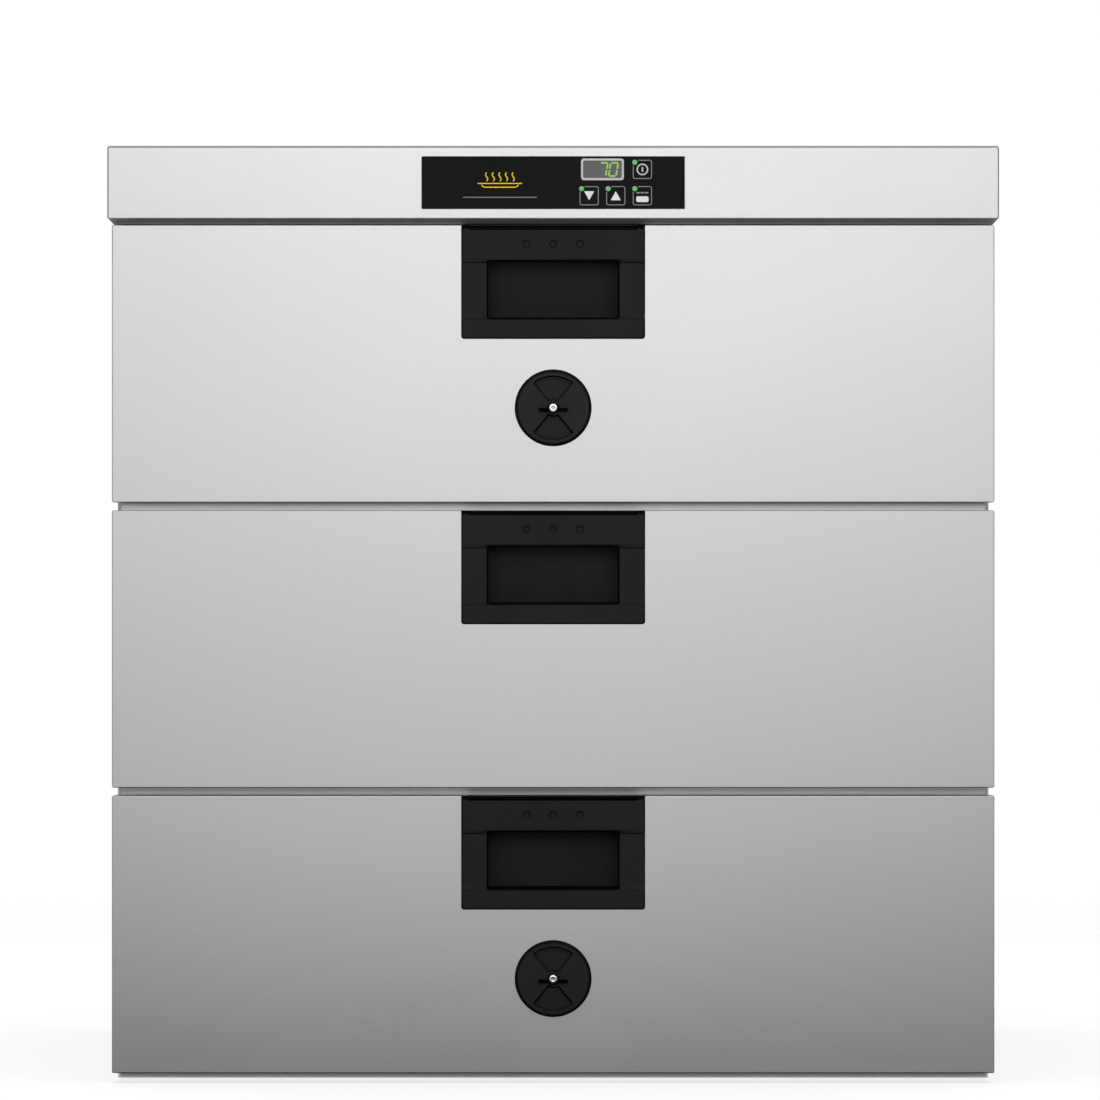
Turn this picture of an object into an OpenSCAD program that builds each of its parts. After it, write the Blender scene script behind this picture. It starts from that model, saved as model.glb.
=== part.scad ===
// Countertop warming drawer unit: three heated pan drawers under a control hood.
// Millimetres. X runs across the front, the drawers pull out towards -Y, and Z is up.
// The origin is at the middle of the footprint, on the surface that the feet stand on.
// Inside the modules, y = 0 is the outer face of the drawer fronts; in_place() moves it.

/* [Food pans] */
// Length of the pan's rim, which lies across the cabinet
pan_w = 530; // [500:1:600]
// Width of the pan's rim, front to back
pan_d = 325; // [280:1:340]
// Depth of the pan, from its rim to its base
pan_h = 150; // [140:1:200]
// Width of the pan's flat rim
pan_rim = 12.5; // [9:0.5:20]
// Sheet thickness of the pan
pan_sheet = 1; // [0.6:0.1:1.5]
// Corner radius of the pan's well
pan_corner_r = 38; // [15:1:60]
// Corner radius of the pan's rim
pan_rim_r = 14; // [4:1:20]

/* [Drawer frames] */
// Free play between the pan's rim and the frame, on each side
pan_play_x = 4.3; // [1:0.1:8]
// Free play in front of the pan's rim, and behind it
pan_play_y = 4; // [1:0.5:8]
// Sheet thickness of the frame
frame_sheet = 1.5; // [1:0.1:2.5]
// Height of the frame's plates
frame_h = 64; // [52:1:80]
// Height of the frame above the ledge that carries the pan
frame_lip = 2.5; // [1:0.5:3.5]
// Space between the pan's well and the ledge
ledge_gap = 2.5; // [1:0.5:5]
// Space under the pan, down to the edge of the opening
pan_under = 20.5; // [17:0.5:40]
// Space over the pan, up to the edge of the opening
pan_over = 4; // [4:0.5:12]

/* [Drawer slides] */
// Closed length of a slide
slide_len = 400; // [380:5:450]
// Thickness of a slide
slide_t = 12.7; // [12:0.1:16]
// Height of a slide
slide_h = 45; // [40:1:50]
// Sheet thickness of the slide's outer member and of the webs
slide_sheet = 1.2; // [1:0.1:1.5]
// Thickness of the inner flanges, which hold the ball tracks
slide_track = 1.8; // [1.2:0.1:2.5]
// Running gap between the members of a slide
slide_gap = 0.3; // [0.2:0.05:0.5]
// Distance from the back of the drawer front to the slides
slide_start = 4; // [4:0.5:10]
// Space behind the slides, up to the liner
slide_rear_gap = 7; // [4:1:20]

/* [Drawer fronts] */
// How far a front covers the frame above and below its opening
front_lap = 9.25; // [9.25:0.25:15]
// Gap between two fronts
front_gap = 5.5; // [4:0.5:10]
// How far a front stands out past the side of the cabinet
front_over = 2.5; // [0:0.5:4]
// Depth of the folded front
front_depth = 16; // [16:0.5:22]
// Sheet thickness of the front
front_sheet = 1; // [0.8:0.1:1.2]
// Outer bend radius of the front's folded edges
front_edge_r = 1.4; // [1.4:0.1:2.5]
// Depth of the insulated plug behind the front
plug_depth = 18; // [17:0.5:30]
// Space between the plug and the opening, at the sides
plug_gap_x = 3; // [2:0.5:5]
// Space between the plug and the opening, above and below
plug_gap_z = 2.5; // [1:0.5:4]
// Thickness of the gasket
gasket_t = 3.7; // [2:0.1:6]
// Width of the gasket
gasket_w = 7.5; // [4:0.5:7.5]
// Gap between the closed gasket and the front frame
gasket_gap = 0.3; // [0.2:0.1:0.5]
// Distance from the opening's edge to the gasket
gasket_offset = 0.4; // [0:0.1:0.7]

/* [Handles] */
// Width of the handle's plate
handle_w = 128; // [115:1:160]
// Height of the handle's plate
handle_h = 78.6; // [76:0.2:90]
// Distance from the top of the front to the handle
handle_drop = 0.7; // [0.2:0.1:2]
// How far the plate stands out from the front
handle_proud = 1.5; // [1.2:0.1:3]
// How far the plate covers the front around its notch
handle_cover = 4; // [2:0.5:5]
// Depth of the shallow band across the middle of the plate
handle_band = 0.8; // [0.2:0.1:1]
// Height of each slope that leads into the shallow band
handle_slope = 2.8; // [1:0.1:4]
// Width of the finger opening
mouth_w = 92.8; // [70:0.2:100]
// Height of the finger opening
mouth_h = 41.4; // [30:0.2:42]
// Distance from the top of the handle to the finger opening
mouth_drop = 23.6; // [20:0.2:26]
// Corner radius of the finger opening
mouth_r = 2; // [0.5:0.5:5]
// Height of the finger space that reaches up behind the plate
hook_h = 7.6; // [3:0.2:7.6]
// How much wider the cup is than its opening, on each side
cup_side = 2; // [0:0.5:4]
// How much lower the cup's floor is than its opening
cup_sill = 1; // [0:0.5:2]
// Depth of the handle's cup behind the face of the front
cup_depth = 29; // [20:0.5:29]
// Wall thickness of the handle
handle_wall = 2.5; // [2:0.1:3]
// Depth of the handle's stiffening ring
handle_ring = 14; // [8:0.5:14]
// Diameter of the three dimples
dimple_d = 6; // [3:0.5:8]
// Depth of the three dimples
dimple_depth = 0.8; // [0.3:0.1:1.2]
// Distance between the dimples
dimple_pitch = 18.5; // [10:0.5:25]
// Distance from the top of the handle to the dimples
dimple_drop = 12.5; // [8:0.5:15]
// Height of the groove along the top of the handle
groove_h = 2.1; // [1:0.1:3]
// Depth of the groove behind the face of the front
groove_d = 6; // [2:0.5:10]

/* [Drawer vents] */
// Diameter of the vent's flange
vent_d = 53.5; // [48:0.5:70]
// Distance from the top of the front to the middle of the vent
vent_drop = 127.2; // [112:0.2:130]
// Height of the flange over the front
vent_flange = 3.2; // [3:0.1:4]
// Width of the flange's rim
vent_rim = 1.5; // [1.5:0.25:4]
// Thickness of the vent's fixed floor
vent_floor = 1; // [0.8:0.1:1.2]
// Outer diameter of the sleeve through the front
sleeve_d = 44; // [40:0.5:46]
// Wall thickness of the sleeve
sleeve_wall = 1.5; // [1:0.1:2]
// Running gap around the turning disc
disc_gap = 0.3; // [0.2:0.05:0.5]
// Thickness of the turning disc
disc_t = 1.7; // [1:0.1:1.7]
// Inner radius of the windows
window_r_in = 5.2; // [4.8:0.1:7]
// Outer radius of the windows
window_r_out = 20; // [15:0.5:20.4]
// Half of the angle that a window spans
window_half = 41.5; // [20:0.5:43]
// Diameter of the disc's hub
hub_d = 9.2; // [8.5:0.1:9.5]
// Height of the hub over the floor's gap
hub_h = 3.7; // [2.5:0.1:4]
// Length from the middle to the end of each grip wing
wing_reach = 10; // [7:0.5:16]
// Thickness of a grip wing
wing_t = 2.4; // [1.5:0.1:4]
// How far the grip wings stand out from the front
wing_proud = 7; // [6.5:0.1:12]
// Diameter of the pivot's shank
pivot_d = 4; // [3:0.1:4.5]
// Radial running clearance of the pivot
pivot_gap = 0.05; // [0.02:0.01:0.1]
// Diameter of the pivot's head
pivot_head_d = 6.2; // [5.6:0.1:6.4]
// Thickness of the pivot's head
pivot_head_t = 1; // [0.6:0.1:1]

/* [Cabinet] */
// Space for sheet and insulation in each side wall
side_wall = 21; // [18:0.5:40]
// Distance from the face of the fronts to the face of the front frame
frame_back = 20; // [20:0.5:24]
// Sheet thickness of the front frame
face_sheet = 1.2; // [1:0.1:1.5]
// Depth of the front frame's folded edges
face_return = 14; // [12:0.5:16]
// Outer bend radius of the front frame's upright edges
face_r = 3; // [2:0.5:5]
// Height of the front frame over the top opening
face_top = 24; // [22:0.5:30]
// Sheet thickness of the outer panels
skin_sheet = 1; // [0.8:0.1:1.2]
// Sheet thickness of the base and of its folded edges
base_sheet = 1.2; // [1:0.1:1.5]
// Sheet thickness of the liner and its shelves
liner_sheet = 1; // [0.8:0.1:1.2]
// Insulation behind the liner
rear_wool = 27; // [26:0.5:60]
// Height from the bottom of the cabinet to the lowest front
base_gap = 5; // [0:0.5:6]
// Width of the flange folded in at the back of each side panel
rear_flange = 15; // [13:0.5:16]
// Height of the folded edges of the base and of the deck
fold_h = 12; // [6:1:14]
// Clearance around the insulation
wool_gap = 0.1; // [0.05:0.05:0.3]

/* [Feet] */
// Height of the feet
foot_h = 2; // [1.5:0.5:40]
// Diameter of the feet
foot_d = 30; // [20:1:50]
// Distance from the side of the cabinet to the middle of a foot
foot_inset_x = 60; // [30:1:100]
// Distance from the front frame, and from the back, to the middle of a foot
foot_inset_y = 80; // [30:1:120]
// Diameter of the stud that holds a foot in the base
foot_stud_d = 8; // [4:0.5:12]

/* [Hood] */
// How far the hood stands out past the side of the cabinet
hood_over = 5.5; // [5:0.5:12]
// How far the hood stands out past the fronts
hood_proud = 3.5; // [1:0.5:4.5]
// Height of the hood's upright face
hood_h = 50.4; // [50:0.2:80]
// Height of the slope that leads in under the face
hood_slope = 3.9; // [3:0.1:5]
// Gap between the hood and the top front
hood_gap = 0.7; // [0.5:0.1:2]
// Sheet thickness of the hood
hood_sheet = 1.2; // [1:0.1:1.5]
// Outer bend radius of the hood's top edges
hood_r = 2; // [1.6:0.1:4]
// Height of the flange folded down at the back of the hood
hood_flange = 9; // [7:0.5:9]

/* [Controls] */
// Width of the control fascia
fascia_w = 183; // [176:1:260]
// Height of the control fascia
fascia_h = 36.6; // [36:0.2:40]
// Thickness of the control fascia
fascia_t = 0.8; // [0.6:0.1:1]
// Distance from the top of the hood to the middle of the fascia
fascia_drop = 25.8; // [22:0.2:26]
// Size of a square key
key_w = 13.2; // [10:0.1:13.4]
// Corner radius of a key
key_r = 1.5; // [0.5:0.1:2]
// Gap around a key
key_gap = 0.3; // [0.2:0.05:0.4]
// How far a key stands out from the fascia
key_proud = 0.3; // [0.1:0.1:0.6]
// Distance that a key is pressed in
key_travel = 0.5; // [0.3:0.1:0.8]
// Width of the flange that holds a key behind the fascia
key_flange = 0.4; // [0.3:0.1:0.5]
// Thickness of the key's flange
key_flange_t = 0.8; // [0.5:0.1:1]
// Distance between two keys in a row
key_pitch_x = 18.5; // [16:0.1:19]
// Distance between the two rows of controls
key_pitch_z = 18.3; // [17:0.1:18.4]
// Distance from the middle of the fascia to the right column of keys
key_column_x = 62; // [60:0.5:66]
// Diameter of an indicator light
lamp_d = 3.8; // [2.5:0.1:4]
// Sideways distance from the middle of a key to its indicator
lamp_dx = 5.3; // [4.5:0.1:5.5]
// Height from the middle of a key to its indicator
lamp_dz = 4.9; // [4.5:0.1:5]
// Width of the display window
display_w = 29.8; // [26:0.2:30]
// Height of the display window
display_h = 15.1; // [12:0.1:15.4]
// Thickness of the circuit board
board_t = 1.6; // [1:0.1:2]
// Distance from the back of the fascia to the circuit board
board_back = 12.5; // [10:0.5:15]

/* [Heating and wiring] */
// Diameter of the tubular heating elements
heater_d = 8; // [6:0.5:8.5]
// Distance between the legs of a heating element
heater_pitch = 60; // [50:1:60]
// Height of the middle of the heating element over its shelf
heater_z = 8; // [6:0.5:8]
// Diameter of the temperature probes
probe_d = 6; // [4:0.5:8]
// Length of a temperature probe inside the chamber
probe_len = 45; // [20:1:60]
// Diameter of the wiring looms
loom_d = 6; // [4:0.5:8]
// Diameter of the cable bore through the gland
gland_bore = 9.5; // [6:0.1:11]
// Diameter of the gland's thread
gland_thread = 16; // [14:0.5:18]
// Distance from the middle of the back to the gland
gland_x = 200; // [120:5:230]
// How far the gland stands out behind the cabinet
gland_proud = 20; // [12:0.5:40]

/* [Hidden] */
$fn = 64;

bright_steel = "#cfd0d1";
dull_steel = "#a9abad";
black_plastic = "#262626";
black_rubber = "#1b1b1b";
wool_yellow = "#cdbf86";
board_green = "#2f6b45";
glass_grey = "#7d827b";
bottom = 0;
middle = 1;
top = 2;
rows = [bottom, middle, top];
sides = [-1, 1];
eps = 0.5; // cuts run this far past the faces they open

// Widths, from the pan outwards
frame_w = pan_w + 2 * (pan_play_x + frame_sheet);
opening_w = frame_w + 2 * slide_t;
body_w = opening_w + 2 * side_wall;
front_w = body_w + 2 * front_over;
hood_w = body_w + 2 * hood_over;
plug_w = opening_w - 2 * plug_gap_x;
well_w = pan_w - 2 * pan_rim;
well_d = pan_d - 2 * pan_rim;

// Depths behind the outer face of the fronts
plug_back = front_depth + plug_depth;
gasket_face = front_depth + gasket_t;
frame_face = max(frame_back, gasket_face + gasket_gap);
return_back = frame_face + face_return;
frame_d = pan_d + 2 * (pan_play_y + frame_sheet);
pan_y = plug_back + frame_d / 2;
rail_y0 = plug_back + slide_start;
rail_y1 = rail_y0 + slide_len;
liner_back = rail_y1 + slide_rear_gap;
wool_back = liner_back + liner_sheet + rear_wool;
panel_y0 = wool_back + skin_sheet;
body_d = panel_y0 + skin_sheet;
screw_head_t = 1.8;
front_y = -(body_d + gland_proud - wing_proud) / 2;

// Heights
opening_h = pan_under + pan_h + pan_over;
front_h = opening_h + 2 * front_lap;
front_pitch = front_h + front_gap;
fronts_top = foot_h + base_gap + 3 * front_h + 2 * front_gap;
slope_z = fronts_top + hood_gap;
hood_face_z = slope_z + hood_slope;
hood_top = hood_face_z + hood_h;
base_top = foot_h + base_sheet;
face_top_z = fronts_top - front_lap + face_top;
deck_z = face_top_z - skin_sheet;
liner_bottom = foot_h + base_gap + front_lap;
liner_top = fronts_top - front_lap;
fascia_z = hood_top - fascia_drop;
gland_drop = 4; // from the middle of the space under the hood
gland_z = (face_top_z + hood_top) / 2 - gland_drop;

function front_z(row) = foot_h + base_gap + row * front_pitch;
function front_top(row) = front_z(row) + front_h;
function opening_z(row) = front_z(row) + front_lap;
function shelf_z(row) = row == bottom ? liner_bottom : front_z(row) - front_gap / 2;
function rim_top(row) = opening_z(row) + pan_under + pan_h;
function ledge_top(row) = rim_top(row) - pan_sheet;
function frame_z(row) = ledge_top(row) + frame_lip - frame_h;
function slide_z(row) = frame_z(row) + frame_h / 2;
function handle_z(row) = front_top(row) - handle_drop;
function vent_z(row) = front_top(row) - vent_drop;
function coil_z(row) = shelf_z(row) + heater_z;

// Slides, as distances u in from the liner's wall
middle_u = slide_sheet + slide_gap;
rail_u = middle_u + slide_sheet + slide_gap;
track_cover = 3.2; // the outer flanges end this far from the drawer frame
middle_cover = 2.8; // and the middle flanges this far
middle_half = slide_h / 2 - slide_sheet - slide_gap;
rail_half = middle_half - slide_track - slide_gap;

// Handles
notch_half = handle_w / 2 - handle_cover;
notch_h = handle_h - handle_cover + handle_drop;
plug_in_gap = 0.2;
plate_back = 1.5;
cup_half = mouth_w / 2 + cup_side;
cup_top = mouth_drop - hook_h;
cup_bottom = mouth_drop + mouth_h + cup_sill;

// Vents
vent_r = vent_d / 2;
sleeve_r = sleeve_d / 2;
fit = 0.05;
disc_back = -vent_floor - disc_gap;
hub_front = disc_back - hub_h;
rivet_tail = 0.8;
rivet_tail_d = 7.2;

// Controls
aperture_margin = 0.6;
aperture_side = 8;
key_hole = key_w + 2 * key_gap;
key_row = key_pitch_z / 2;
flange_w = key_hole + 2 * key_flange;
aperture_half_h = key_row + flange_w / 2 + aperture_margin;
aperture_x0 = key_column_x - 2 * key_pitch_x - flange_w / 2 - aperture_side;
aperture_x1 = key_column_x + flange_w / 2 + aperture_side;
fascia_back = -hood_proud;
fascia_front = fascia_back - fascia_t;
board_y = fascia_back + board_back;
display_x = key_column_x - 1.5 * key_pitch_x;
switch_w = 6;
switch_gap = 0.3;
stem_d = 4;
switch_h = 2.2;

// Screws
screw_r = 2;
screw_head_r = 3.8;
rivet_r = 2.5;
rivet_head_r = 4.5;
rivet_head_t = 1;
post_r = 2;

module in_place() translate([0, front_y, 0]) children();
module box(low, high) translate(low) cube(high - low);
module along_x(x0, x1) translate([x0, 0, 0]) rotate([90, 0, 90]) linear_extrude(x1 - x0) children();
module along_y(y0, y1) translate([0, y1, 0]) rotate([90, 0, 0]) linear_extrude(y1 - y0) children();
module along_z(z0, z1) translate([0, 0, z0]) linear_extrude(z1 - z0) children();
module pin_y(x, z, r, y0, y1) translate([x, y1, z]) rotate([90, 0, 0]) cylinder(r = r, h = y1 - y0);
module pin_x(y, z, r, x0, x1) translate([x0, y, z]) rotate([0, 90, 0]) cylinder(r = r, h = x1 - x0);
module mirrored() {
    children();
    mirror([1, 0, 0]) children();
}

// A rectangle with four round corners
module round_rect(low, high, r) {
    size = high - low;
    translate([low.x + r, low.y]) square([size.x - 2 * r, size.y]);
    translate([low.x, low.y + r]) square([size.x, size.y - 2 * r]);
    for (x = [low.x + r, high.x - r], y = [low.y + r, high.y - r])
        translate([x, y]) circle(r);
}

// The section of a sheet folded back at both ends: a0 to a1 wide, with bends of radius r
module folded(a0, a1, depth, r) {
    translate([a0, r]) square([a1 - a0, depth - r]);
    translate([a0 + r, 0]) square([a1 - a0 - 2 * r, depth]);
    translate([a0 + r, r]) circle(r);
    translate([a1 - r, r]) circle(r);
}

// A block whose front face has four rounded edges
module folded_block(half_w, z0, z1, y0, y1, r) {
    translate([0, y0, 0])
        intersection() {
            along_z(z0, z1) folded(-half_w, half_w, y1 - y0, r);
            along_x(-half_w, half_w) mirror([1, -1, 0]) folded(z0, z1, y1 - y0, r);
        }
}

// A channel with its web between u0 and u1, and flanges between v0 and v1
module channel(row, web, flange, half, flange_t) {
    wall = opening_w / 2;
    z = slide_z(row);
    box([wall - web[1], rail_y0, z - half], [wall - web[0], rail_y1, z + half]);
    box([wall - flange[1], rail_y0, z + half - flange_t], [wall - flange[0], rail_y1, z + half]);
    box([wall - flange[1], rail_y0, z - half], [wall - flange[0], rail_y1, z - half + flange_t]);
}

// A bow-tie pair of windows about the vent's axis, turned by angle
module vent_windows(row, y0, y1, angle) {
    far = 2 * window_r_out;
    translate([0, 0, vent_z(row)])
        along_y(y0, y1)
            rotate(angle)
                intersection() {
                    difference() {
                        circle(window_r_out);
                        circle(window_r_in);
                    }
                    union() {
                        for (s = sides)
                            polygon([
                                [0, 0],
                                s * far * [cos(window_half), sin(window_half)],
                                s * far * [cos(window_half), -sin(window_half)]
                            ]);
                    }
                }
}

// ---- Drawer fronts ----

module front_skin(row) {
    z0 = front_z(row);
    z1 = front_top(row);
    color(bright_steel)
        in_place()
            difference() {
                folded_block(front_w / 2, z0, z1, 0, front_depth, front_edge_r);
                folded_block(
                    front_w / 2 - front_sheet, z0 + front_sheet, z1 - front_sheet,
                    front_sheet, front_depth + eps, front_edge_r - front_sheet
                );
                box([-notch_half, -eps, z1 - notch_h], [notch_half, front_depth + eps, z1 + eps]);
                if (row != middle)
                    pin_y(0, vent_z(row), sleeve_r + fit, -eps, front_depth);
            }
}

module inner_panel(row) {
    z0 = front_z(row);
    z1 = front_top(row);
    lap = front_lap + plug_gap_z;
    color(bright_steel)
        in_place()
            difference() {
                union() {
                    box(
                        [-front_w / 2 + front_sheet, front_depth - front_sheet, z0 + front_sheet],
                        [front_w / 2 - front_sheet, front_depth, z1 - front_sheet]
                    );
                    box(
                        [-plug_w / 2, front_depth - front_sheet, z0 + lap],
                        [plug_w / 2, plug_back, z1 - lap]
                    );
                }
                box(
                    [-plug_w / 2 + front_sheet, front_depth - front_sheet - eps, z0 + lap + front_sheet],
                    [plug_w / 2 - front_sheet, plug_back - front_sheet, z1 - lap - front_sheet]
                );
                panel_screws(row) pin_y(0, 0, rivet_r + fit, plug_back - front_sheet - eps, plug_back + eps);
                if (row != middle)
                    pin_y(0, vent_z(row), sleeve_r + fit, plug_back - front_sheet - eps, plug_back + eps);
            }
}

module front_insulation(row) {
    z0 = front_z(row);
    z1 = front_top(row);
    gap = front_sheet + wool_gap;
    lap = front_lap + plug_gap_z + gap;
    color(wool_yellow)
        in_place()
            difference() {
                union() {
                    box(
                        [-front_w / 2 + gap + front_edge_r, gap, z0 + gap + front_edge_r],
                        [front_w / 2 - gap - front_edge_r, front_depth - gap, z1 - gap - front_edge_r]
                    );
                    box(
                        [-plug_w / 2 + gap, front_depth - gap - eps, z0 + lap],
                        [plug_w / 2 - gap, plug_back - gap, z1 - lap]
                    );
                }
                handle_space(row);
                if (row != middle)
                    pin_y(0, vent_z(row), sleeve_r + handle_room, -eps, plug_back);
            }
}

// Room for the handle in the insulation
handle_room = 0.5;
module handle_space(row) {
    z = handle_z(row);
    around = handle_wall + handle_room;
    box(
        [-notch_half - handle_room, -eps, z - notch_h - handle_room],
        [notch_half + handle_room, handle_ring + handle_room, z + front_lap]
    );
    box(
        [-cup_half - around, -eps, z - cup_bottom - around],
        [cup_half + around, cup_depth + handle_room, z - cup_top + around]
    );
}

module gasket(row) {
    inner = gasket_offset;
    outer = gasket_offset + gasket_w;
    half = opening_w / 2;
    z0 = opening_z(row);
    z1 = z0 + opening_h;
    color(black_rubber)
        in_place()
            difference() {
                box([-half - outer, front_depth, z0 - outer], [half + outer, gasket_face, z1 + outer]);
                box(
                    [-half - inner, front_depth - eps, z0 - inner],
                    [half + inner, gasket_face + eps, z1 + inner]
                );
            }
}

module handle(row) {
    z = handle_z(row);
    half = notch_half - plug_in_gap;
    ring_z = z - (handle_h - handle_cover) + plug_in_gap;
    mouth_z0 = z - mouth_drop - mouth_h;
    mouth_z1 = z - mouth_drop;
    shallow = -handle_proud + handle_band;
    past = -handle_proud - eps;
    inner = half - handle_wall;
    color(black_plastic)
        in_place()
            difference() {
                union() {
                    along_x(-handle_w / 2, handle_w / 2)
                        polygon([
                            [0, z - handle_h], [-handle_proud, z - handle_h],
                            [-handle_proud, mouth_z0], [shallow, mouth_z0 + handle_slope],
                            [shallow, mouth_z1 - handle_slope + handle_band],
                            [-handle_proud, mouth_z1 + handle_band], [-handle_proud, z], [0, z]
                        ]);
                    difference() {
                        box([-half, 0, ring_z], [half, handle_ring, z]);
                        box(
                            [-inner, plate_back, ring_z + handle_wall],
                            [inner, handle_ring + eps, z - groove_h - handle_wall]
                        );
                    }
                    box(
                        [-cup_half - handle_wall, 0, z - cup_bottom - handle_wall],
                        [cup_half + handle_wall, cup_depth, z - cup_top + handle_wall]
                    );
                }
                along_y(past, plate_back + eps)
                    round_rect([-mouth_w / 2, mouth_z0], [mouth_w / 2, mouth_z1], mouth_r);
                box(
                    [-cup_half, plate_back, z - cup_bottom],
                    [cup_half, cup_depth - handle_wall, z - cup_top]
                );
                box([-inner, past, z - groove_h], [inner, groove_d, z + eps]);
                for (i = [-1:1])
                    pin_y(i * dimple_pitch, z - dimple_drop, dimple_d / 2, past, dimple_depth - handle_proud);
            }
}

// ---- Drawers ----

// Places of the screws that join the drawer frame to the front
module panel_screws(row) {
    edge = 12;
    shares = [-0.42, -0.16, 0.16, 0.42]; // of the frame's width
    for (share = shares, z = [frame_z(row) + edge, ledge_top(row) - edge])
        translate([share * frame_w, 0, z]) children();
}

// Places of the rivets that join a rail to the right side of the drawer frame
module rail_rivets(row) {
    edge = 30;
    for (y = [rail_y0 + edge, (rail_y0 + rail_y1) / 2, rail_y1 - edge - plate_margin])
        translate([frame_w / 2, y, slide_z(row)]) children();
}

plate_margin = 8; // the side plates end this far before the slides do
module drawer_frame(row) {
    z0 = frame_z(row);
    z1 = z0 + frame_h;
    ledge = ledge_top(row);
    back = plug_back + frame_d;
    color(bright_steel)
        in_place()
            difference() {
                union() {
                    difference() {
                        box([-frame_w / 2, plug_back, z0], [frame_w / 2, back, z1]);
                        box(
                            [-frame_w / 2 + frame_sheet, plug_back + frame_sheet, z0 - eps],
                            [frame_w / 2 - frame_sheet, back - frame_sheet, z1 + eps]
                        );
                    }
                    difference() {
                        box([-frame_w / 2, plug_back, ledge - frame_sheet], [frame_w / 2, back, ledge]);
                        along_z(ledge - frame_sheet - eps, ledge + eps)
                            round_rect(
                                [-well_w / 2 - ledge_gap, pan_y - well_d / 2 - ledge_gap],
                                [well_w / 2 + ledge_gap, pan_y + well_d / 2 + ledge_gap],
                                pan_corner_r + ledge_gap
                            );
                    }
                    mirrored()
                        box(
                            [frame_w / 2 - frame_sheet, back - eps, z0],
                            [frame_w / 2, rail_y1 - plate_margin, z1]
                        );
                }
                panel_screws(row) pin_y(0, 0, rivet_r + fit, plug_back - eps, plug_back + frame_sheet + eps);
                mirrored() rail_rivets(row) pin_x(0, 0, rivet_r + fit, -frame_sheet - eps, eps);
            }
}

module pan(row) {
    z1 = rim_top(row);
    z0 = z1 - pan_h;
    inner_w = well_w / 2 - pan_sheet;
    inner_d = well_d / 2 - pan_sheet;
    color(bright_steel)
        in_place()
            translate([0, pan_y, 0])
                difference() {
                    union() {
                        along_z(z0, z1)
                            round_rect([-well_w / 2, -well_d / 2], [well_w / 2, well_d / 2], pan_corner_r);
                        along_z(z1 - pan_sheet, z1)
                            round_rect([-pan_w / 2, -pan_d / 2], [pan_w / 2, pan_d / 2], pan_rim_r);
                    }
                    along_z(z0 + pan_sheet, z1 + eps)
                        round_rect([-inner_w, -inner_d], [inner_w, inner_d], pan_corner_r - pan_sheet);
                }
}

module drawer_rails(row) {
    color(dull_steel)
        in_place()
            mirrored()
                difference() {
                    channel(
                        row, [slide_t - slide_sheet, slide_t], [rail_u, slide_t], rail_half, slide_track
                    );
                    rail_rivets(row) pin_x(0, 0, rivet_r + fit, -eps, slide_sheet + eps);
                }
}

module slide_middles(row) {
    color(dull_steel)
        in_place()
            mirrored()
                channel(
                    row, [middle_u, middle_u + slide_sheet], [middle_u, slide_t - middle_cover],
                    middle_half, slide_track
                );
}

module cabinet_rails() {
    color(dull_steel)
        in_place()
            mirrored()
                for (row = rows)
                    channel(row, [0, slide_sheet], [0, slide_t - track_cover], slide_h / 2, slide_sheet);
}

module fixings(row) {
    color(dull_steel)
        in_place() {
            panel_screws(row) {
                pin_y(0, 0, rivet_r, plug_back - front_sheet, plug_back + frame_sheet + eps);
                pin_y(0, 0, rivet_head_r, plug_back + frame_sheet, plug_back + frame_sheet + screw_head_t);
            }
            mirrored()
                rail_rivets(row) {
                    pin_x(0, 0, rivet_r, -frame_sheet - rivet_head_t, slide_sheet + rivet_head_t);
                    pin_x(0, 0, rivet_head_r, -frame_sheet - rivet_head_t, -frame_sheet);
                    pin_x(0, 0, rivet_head_r, slide_sheet, slide_sheet + rivet_head_t);
                }
        }
}

// ---- Drawer vents ----

module vent_base(row) {
    z = vent_z(row);
    color(black_plastic)
        in_place()
            difference() {
                union() {
                    pin_y(0, z, vent_r, -vent_flange, 0);
                    pin_y(0, z, sleeve_r, -vent_floor, plug_back);
                }
                pin_y(0, z, vent_r - vent_rim, -vent_flange - eps, -vent_floor);
                pin_y(0, z, sleeve_r - sleeve_wall, 0, plug_back + eps);
                vent_windows(row, -vent_floor - eps, eps, 0);
                pin_y(0, z, pivot_d / 2 + fit, -vent_floor - eps, eps);
            }
}

module vent_disc(row) {
    z = vent_z(row);
    color(black_plastic)
        in_place()
            difference() {
                union() {
                    difference() {
                        pin_y(0, z, vent_r - vent_rim - disc_gap, disc_back - disc_t, disc_back);
                        vent_windows(row, disc_back - disc_t - eps, disc_back + eps, 90);
                    }
                    pin_y(0, z, hub_d / 2, hub_front, disc_back);
                    for (s = sides)
                        translate([s * (wing_reach + wing_root) / 2, 0, z])
                            box(
                                [-(wing_reach - wing_root) / 2, -wing_proud, -wing_t / 2],
                                [(wing_reach - wing_root) / 2, disc_back - eps, wing_t / 2]
                            );
                }
                pin_y(0, z, pivot_d / 2 + pivot_gap, hub_front - eps, disc_back + eps);
            }
}

wing_root = pivot_head_d / 2 + disc_gap;
module vent_pivot(row) {
    z = vent_z(row);
    head = hub_front - disc_gap;
    color(dull_steel)
        in_place() {
            pin_y(0, z, pivot_d / 2, head, rivet_tail);
            pin_y(0, z, pivot_head_d / 2, head - pivot_head_t, head);
            pin_y(0, z, rivet_tail_d / 2, 0, rivet_tail);
        }
}

// ---- Cabinet ----

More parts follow.
